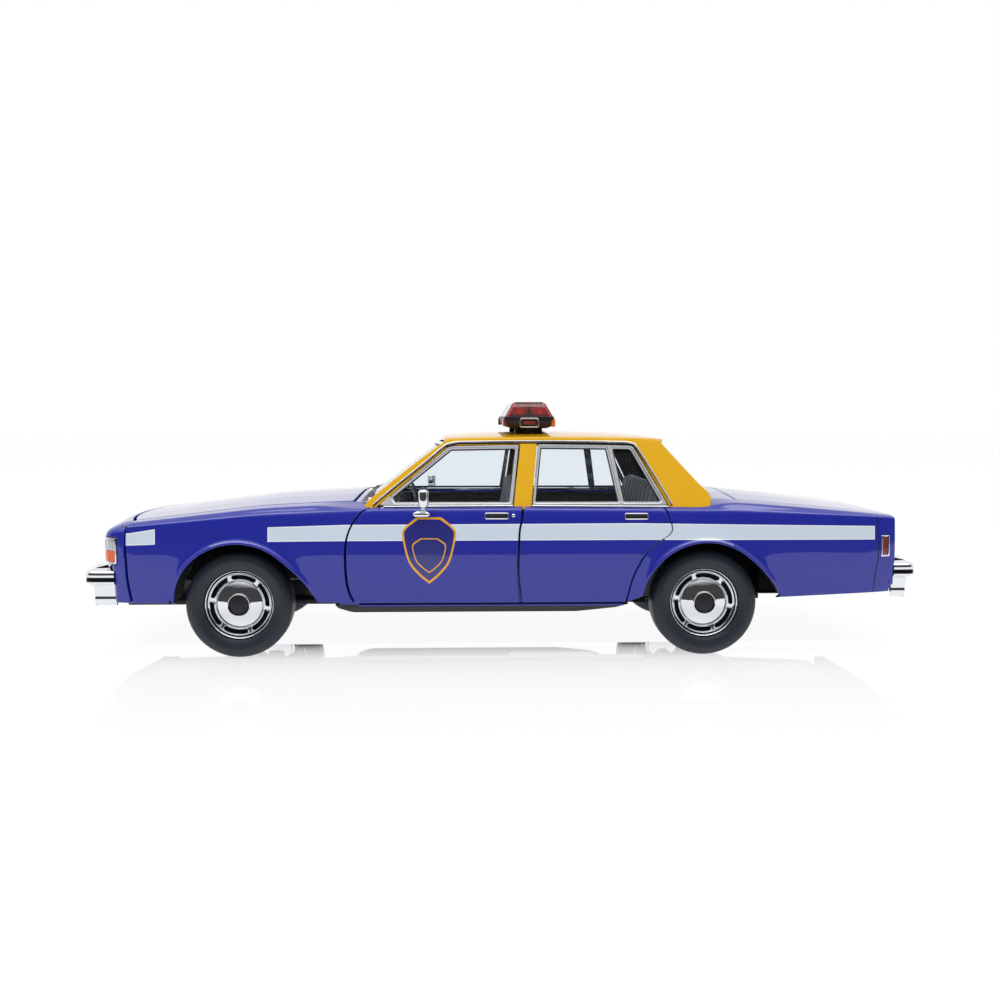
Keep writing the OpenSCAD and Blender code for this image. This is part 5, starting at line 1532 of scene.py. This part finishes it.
# The engraved seam ahead of the tail is a thin near-black strip: painted shade in the groove.
seam = on_side(curve([(133.4, 49.4), (133.9, 45), (134.0, 36), (133.2, 29), (132.7, 22.4)], 0.8))
trim("tail_seam_*", [(*strip(seam, BODY, 0.3, 0.03), 0)], "black_gap", slot="blue_paint")
print("tail ready")

# %% [markdown]
# ## Handles, locks and mirrors
# These are small plated mouldings pressed into the doors.

# %% Handles, locks and mirrors
for door_name, x0, x1, z, lock in (("front", -5.3, 3.1, 49.75, 4.7), ("rear", 43.5, 51.8, 49.5, None)):
    plate = on_side(box_path(x0, x1, z - 1.15, z + 1.15, 0.75, 0.5))
    well = shrink(plate if area(plate) > 0 else plate[::-1], 0.42)
    outer = panel_mesh(plate, BODY, holes=[well], spacing=0.8, edge=0.2, depth=0.8, lift=0.4)
    # The well round each grip is near black: painted shade in the recess.
    inner = panel_mesh(well, BODY, spacing=0.8, edge=0.05, depth=0.5, lift=0.1)
    grip = panel_mesh(shrink(well, 0.3), BODY, spacing=0.8, edge=0.2, depth=0.4, lift=0.25)
    groups = [(outer[0], outer[1], 0), (inner[0], inner[1], 1), (grip[0], grip[1], 2)]
    if lock:
        spot, _ = BODY.at(lock, z + 0.15 - float(np.interp(lock, xs, soft_crease)))
        groups.append((*lathe([(0, 0.5), (0.45, 0.45), (0.6, 0.3), (0.62, -0.3), (0, -0.3)], tuple(spot), 24,
                              closed=False), 0))
    trim(door_name + "_handle_*", groups, ("vacuum_plating", "black_gap", "satin_black_abs"),
         body="door_*" if door_name == "front" else "root", slot="plated_plastic")


def slab_ring(x, y, z, half_x, half_y, power=3.0, count=28):
    """A level squared-off oval."""
    out = []
    for k in range(count):
        t = 2 * math.pi * k / count
        c, s = math.cos(t), math.sin(t)
        out.append((x + half_x * math.copysign(abs(c) ** (2 / power), c),
                    y + half_y * math.copysign(abs(s) ** (2 / power), s), z))
    return out


foot_rings = [slab_ring(-27.2, -53.0, z, 3.1 * k, 1.6 * k, 2.4) for z, k in
              ((49.9, 0.75), (50.1, 0.93), (50.6, 1.0), (51.2, 0.93), (51.6, 0.7), (51.9, 0.45))]
neck = [slab_ring(x, y, z, hx, hy, 2.2) for x, y, z, hx, hy in
        ((-27.0, -53.2, 51.7, 1.3, 0.9), (-26.6, -54.2, 52.3, 0.95, 0.8), (-26.4, -55.1, 53.0, 0.85, 0.85),
         (-26.4, -55.5, 53.7, 0.9, 1.0))]
head = [slab_ring(-26.45, -55.7, z, 1.75 * k, 2.75 * k, 3.4) for z, k in
        ((53.3, 0.55), (53.5, 0.8), (54.0, 0.95), (54.8, 1.0), (58.0, 1.0), (58.8, 0.95), (59.2, 0.8), (59.4, 0.5))]
mirror_face = (*block(-24.95, -24.6, -57.9, -53.5, 54.3, 58.6, 0.12, 0.1), 1)
trim("door_mirror_*", [(*loft(foot_rings), 0), (*loft(neck), 0), (*loft(head), 0), mirror_face],
     ("vacuum_plating", "silver_paint"), body="door_*", slot="plated_plastic", stands_for=["mirror_*"], sharp=60)
print("handles and mirrors ready")

# %% [markdown]
# ## Inside the cabin
# The seats are hard mouldings with pleats and paler printed bands. So each is one side profile lofted across
# the car, with a groove on both sides of every band and softly rounded ends.

# %% Seats
PLEATS, CUSHION_LOW, PLEAT_LOW = 8.4, 30, 32.5
seat_side = rounded([(0, 19.8), (0, 33.2), (3.5, 35.3), (16.4, 33.6), (21.3, 59.2), (24.6, 60.0), (26.2, 57.5),
                     (25, 19.8)], [0.4, 2.2, 3.0, 1.6, 3.0, 1.6, 1.4, 0.4], 1.2, arc=6)


def bench(name, x, half, node):
    """A bench seat: one side profile lofted across the car, with grooves between painted bands."""
    base = np.array(seat_side if area(seat_side) > 0 else seat_side[::-1])
    ends = np.array([0, 0.15, 0.6, 1.4])
    stations = np.concatenate([ends - half, np.arange(-half + 2.2, half - 2.1, 0.65), half - ends[::-1]])
    rings, bands = [], []
    for y in stations:
        end = max(0.0, 1.5 - (half - abs(y)))
        pinch = 1.5 - math.sqrt(max(0.0, 2.25 - end * end))
        place = (abs(y) + 1.8) % PLEATS
        groove = 0.32 * sum(math.exp(-((place - c) / 0.35) ** 2) for c in (0.0, 2.9, PLEATS))
        loop = inset(base, pinch + groove)
        loop[:, 1] = np.where(base[:, 1] < CUSHION_LOW, base[:, 1], loop[:, 1])
        rings.append([(x + dx, y, z) for dx, z in loop])
        bands.append(1 if 0.15 < place < 2.75 and abs(y) < half - 2 else 0)
    points, faces = loft(rings)
    m = len(base)
    faces_up = base[:, 1] > PLEAT_LOW
    marks = []
    for face in faces:
        row, k = min(face) // m, min(face) % m
        marks.append(bands[min(row, len(bands) - 1)] if len(face) == 4 and faces_up[k] else 0)
    piece(name, points, faces, ("seat_moulding", "seat_pleat_paint"), slot="seat_plastic", marks=marks,
          stands_for=[node], sharp=50, merge=0.0001)


bench("front_bench", -16.3, 42.4, "front_bench_seat")
bench("rear_bench", 34.5, 40.9, "rear_bench_seat")
print("seats ready")

# %% [markdown]
# The steering wheel is one black moulding: a round rim, two spokes, a padded middle and the column, which
# points into the dashboard.

# %% Steering wheel
TIP = math.radians(16)
hub = np.array([-29.3, -19.0, 51.0])
face_x, face_up = np.array([math.cos(TIP), 0, math.sin(TIP)]), np.array([-math.sin(TIP), 0, math.cos(TIP)])
RIM_R, RIM_THICK = 8.65, 0.55
rim_rings = []
for k in range(72):
    t = 2 * math.pi * k / 72
    out = np.array([0, 1, 0]) * math.cos(t) + face_up * math.sin(t)
    rim_rings.append([hub + out * (RIM_R + RIM_THICK * math.cos(a)) + face_x * RIM_THICK * math.sin(a)
                      for a in (2 * math.pi * i / 12 for i in range(12))])
rim_points, rim_faces = loft(rim_rings + rim_rings[:1], caps=False)
spokes = [(*tube([hub - face_x * 0.6, hub + np.array([0, side * 4, -0.6]) - face_x * 0.5,
                  hub + np.array([0, side * 8.5, 0.0])], 0.75), 0) for side in (-1, 1)]
column = (*tube([hub + face_x * 0.6, hub - face_x * 1.2, hub - face_x * 7 - np.array([0, 0, 4.0])], 1.5, 20), 0)
pad = (*tube([hub - face_x * 1.0, hub + face_x * 0.7, hub + face_x * 0.9], 2.2, 24), 0)
points, faces, marks = join((rim_points, rim_faces, 0), *spokes, column, pad)
piece("steering_wheel_rim", points, faces, "satin_black_abs", slot="black_plastic", stands_for=["steering_wheel"],
      marks=marks, merge=0.001)

print("steering wheel ready")

# %% [markdown]
# Two plain painted dials stand on the dashboard ahead of the wheel. Each door card carries an armrest, a window
# crank and a pull, moulded on and picked out in silver.

# %% Dials and door furniture
dials = [panel_mesh(box_path(y - 3.2, y + 3.2, 49.6, 52.4, 0.8, 0.6), TO_REAR, spacing=1.0, edge=0.15, depth=0.5,
         lift=-36.9) for y in (-23.5, -14.5)]
points, faces, marks = join(*[(p, f, 0) for p, f, _, _ in dials])
piece("dashboard_dials", points, faces, "silver_paint", slot="charcoal_plastic", marks=marks)

armrest = (*block(-38, -8, -48.6, -46.4, 36.0, 38.4, 0.9, 0.5), 0)
crank = (*lathe([(0, 0.9), (1.1, 0.8), (1.3, 0.3), (1.3, -0.2), (0, -0.2)], (-33, -48.2, 43.0), 32, closed=False,
                out=1), 1)
handle = (*tube([(-33, -47.2, 43.0), (-30.5, -47.1, 41.5), (-28.6, -47.0, 40.4)], 0.45), 1)
pull = (*block(-20, -14.5, -48.7, -47.8, 43.6, 45.2, 0.5, 0.3), 1)
trim("door_furniture_*", [armrest, crank, handle, pull], ("interior_abs", "silver_paint"), body="door_*",
     slot="charcoal_plastic")
print("cabin ready")

# %% [markdown]
# A liner closes each wheel opening from behind, as on the real base, and is near black as painted shade inside the
# arch. It follows the edge of the opening inwards and ends in a wall, and it stays open below.

# %% Wheel housings
def housing(name, axle, inner_y, first, last):
    """A liner that follows the wheel opening inwards and ends in a wall, near black as painted shade."""
    outer_y, thick, wall_foot = -49.3, 0.7, 25.0
    line = arch(axle, 1.0, first, last, 72)
    ahead = np.gradient(np.array(line), axis=0)
    ahead /= np.linalg.norm(ahead, axis=1, keepdims=True)
    off = np.stack([ahead[:, 1], -ahead[:, 0]], 1) * thick
    loop = line + [tuple(q) for q in (np.array(line) + off)[::-1]]
    shell = panel_mesh(loop, TO_LEFT, spacing=3, edge=0.05, depth=inner_y - outer_y, lift=-outer_y)
    wall_line = [q for q in line if q[1] > wall_foot]
    wall = panel_mesh(straight(wall_line + wall_line[:1], 1.2)[:-1], TO_LEFT, spacing=3, edge=0.05, depth=thick,
                      lift=-inner_y)
    trim(name, [(shell[0], shell[1], 0), (wall[0], wall[1], 0)], "black_gap", slot="black_plastic")


housing("front_housing_*", AXLE_F, -31.5, 4, 176)
housing("rear_housing_*", AXLE_R, -33.5, 7.5, 174)
print("wheel housings ready")

# %% [markdown]
# ## Wipers
# Two satin black wipers lie on the windscreen's foot. Each is a thin blade along the glass and a short arm
# that comes up from the cowl, moulded in one.

# %% Wipers
for word, y0 in (("left", 4.0), ("right", -30.0)):
    span = np.linspace(y0, y0 + 24, 12)
    path = [(-q / 46.4 * GLASS_HALF, 1.6 + 1.9 * (k / 11)) for k, q in enumerate(span)]
    blade = strip(path, SCREEN, 0.5, 0.55, lift=-0.1, base=-0.1)
    arm = strip([(path[0][0] + 1.0, 0.2), (path[2][0], 1.0), (path[6][0], path[6][1] + 0.3)], SCREEN, 0.7, 0.8,
                lift=0.1, base=-0.3)
    points, faces, marks = join((*blade, 0), (*arm, 0))
    piece("wiper_" + word, points, faces, "satin_black_abs", slot="black_plastic", marks=marks)
print("wipers ready")

# %% [markdown]
# ## Base plate and trunk well
# A screwed-on base plate closes the underside: a wide pan between the wheels with chamfered ends, a narrow
# tongue to each end and the front beam whose eyes hold the kingpins. The trunk well is a plain open box.

# %% Base plate and trunk well
def washer(x, y, z0, z1, hole, radius):
    """An upright eye with a round hole."""
    points, faces = lathe([(hole, 0), (radius, 0), (radius, z1 - z0), (hole, z1 - z0)], (0, 0, 0), count=36, out=1)
    return [(x + a, y + c, z0 + b) for a, b, c in points], [face[::-1] for face in faces]


PAN = [(18.0, -58.0, 46.0, 47.0), (16.9, -57.0, 42.0, 46.8), (15.6, -53.5, 31.0, 45.6), (15.3, -52.5, 29.0, 45.0)]
TONGUES = [(-135.7, -57, 26, 15.3, 17.3), (40, 98, 24, 16.3, 18.0), (97, 131.7, 24, 18.1, 19.9)]
BEAM_X, EYE_Y, EYE_Z, EYE_TALL = (-94.4, -88.0), 35.0, (14.6, 21.5), 1.4
SCREW_X = (-40.0, 40.0)
parts = [(*loft([ring(x0, x1, -wide, wide, z, 2.0) for z, x0, x1, wide in reversed(PAN)]), 0)]
parts += [(*block(x0, x1, -wide, wide, z0, z1), 0) for x0, x1, wide, z0, z1 in TONGUES]
parts.append((*block(*BEAM_X, -26, 26, 15.3, 22.9), 0))
for z in EYE_Z:
    parts.append((*block(*BEAM_X, -33.2, 33.2, z, z + EYE_TALL, edge=0.15), 0))
    parts += [(*washer(AXLE_F, side * EYE_Y, z, z + EYE_TALL, 1.45, 3.2), 0) for side in (-1, 1)]
# Each screw eye holds a near-black disc in its hole: painted shade.
for x in SCREW_X:
    parts.append((*washer(x, 0, 15.0, 15.4, 1.5, 2.6), 0))
    parts.append((*washer(x, 0, 15.2, 15.28, 0.05, 1.6), 1))
points, faces, marks = join(*parts)
piece("base_plate", points, faces, ("satin_black_abs", "black_gap"), slot="black_plastic", marks=marks, sharp=40,
      stands_for=["chassis_base"])

WELL_X, WELL_STEP, WELL_WALL = (80.5, 136.5), (93.2, 94.4), 1.2
WELL_FOOT, WELL_RIM = 21.0, 43.5


def well_wall(x0, x1, y0, y1, foot=WELL_FOOT, top=WELL_RIM):
    """One thin wall of the trunk well."""
    return (*block(x0, x1, *sorted((y0, y1)), foot, top, edge=0.1), 0)


well = [well_wall(WELL_X[0], 136.4, -35.4, 35.4, 20.8, 22.0), well_wall(WELL_STEP[0], WELL_X[1], -40, 40, 20.9, 21.95),
        well_wall(WELL_X[0], WELL_X[0] + WELL_WALL, -35.4, 35.4),
        well_wall(WELL_X[1] - WELL_WALL, WELL_X[1], -40, 40)]
for side in (-1, 1):
    well += [well_wall(WELL_X[0], 94.3, side * 34.3, side * 35.5),
             well_wall(WELL_STEP[0], WELL_X[1], side * 38.8, side * 40.0),
             well_wall(*WELL_STEP, side * 34.3, side * 40.0)]
points, faces, marks = join(*well)
piece("trunk_well", points, faces, "interior_abs", slot="charcoal_plastic", sharp=40, stands_for=["trunk_tub"])
print("base plate and trunk well ready")

# %% [markdown]
# ## CAD nodes that stay
# Sills, cabin tub, dashboard, links and other plain mouldings already have their real shapes, so they only
# get a finish. The sills belong to the painted body, and the pipe and engine block are sprayed silver.

# %% Finishes for the carried-over nodes
KEEP = {"gloss_enamel_blue": ("side_sill_left", "side_sill_right"),
        "satin_black_abs": ("knuckle_left", "knuckle_right", "tie_rod", "rear_axle_housing"),
        "interior_abs": ("cabin_tub", "dashboard", "radio_console", "door_card_left", "door_card_right"),
        "silver_paint": ("exhaust_pipe", "engine_block")}
for look, names in KEEP.items():
    for name in names:
        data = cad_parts[name].data
        data.materials.clear()
        data.materials.append(FINISH[look])
print("carried over:", sum(len(names) for names in KEEP.values()), "nodes, new pieces:", len(PIECES))
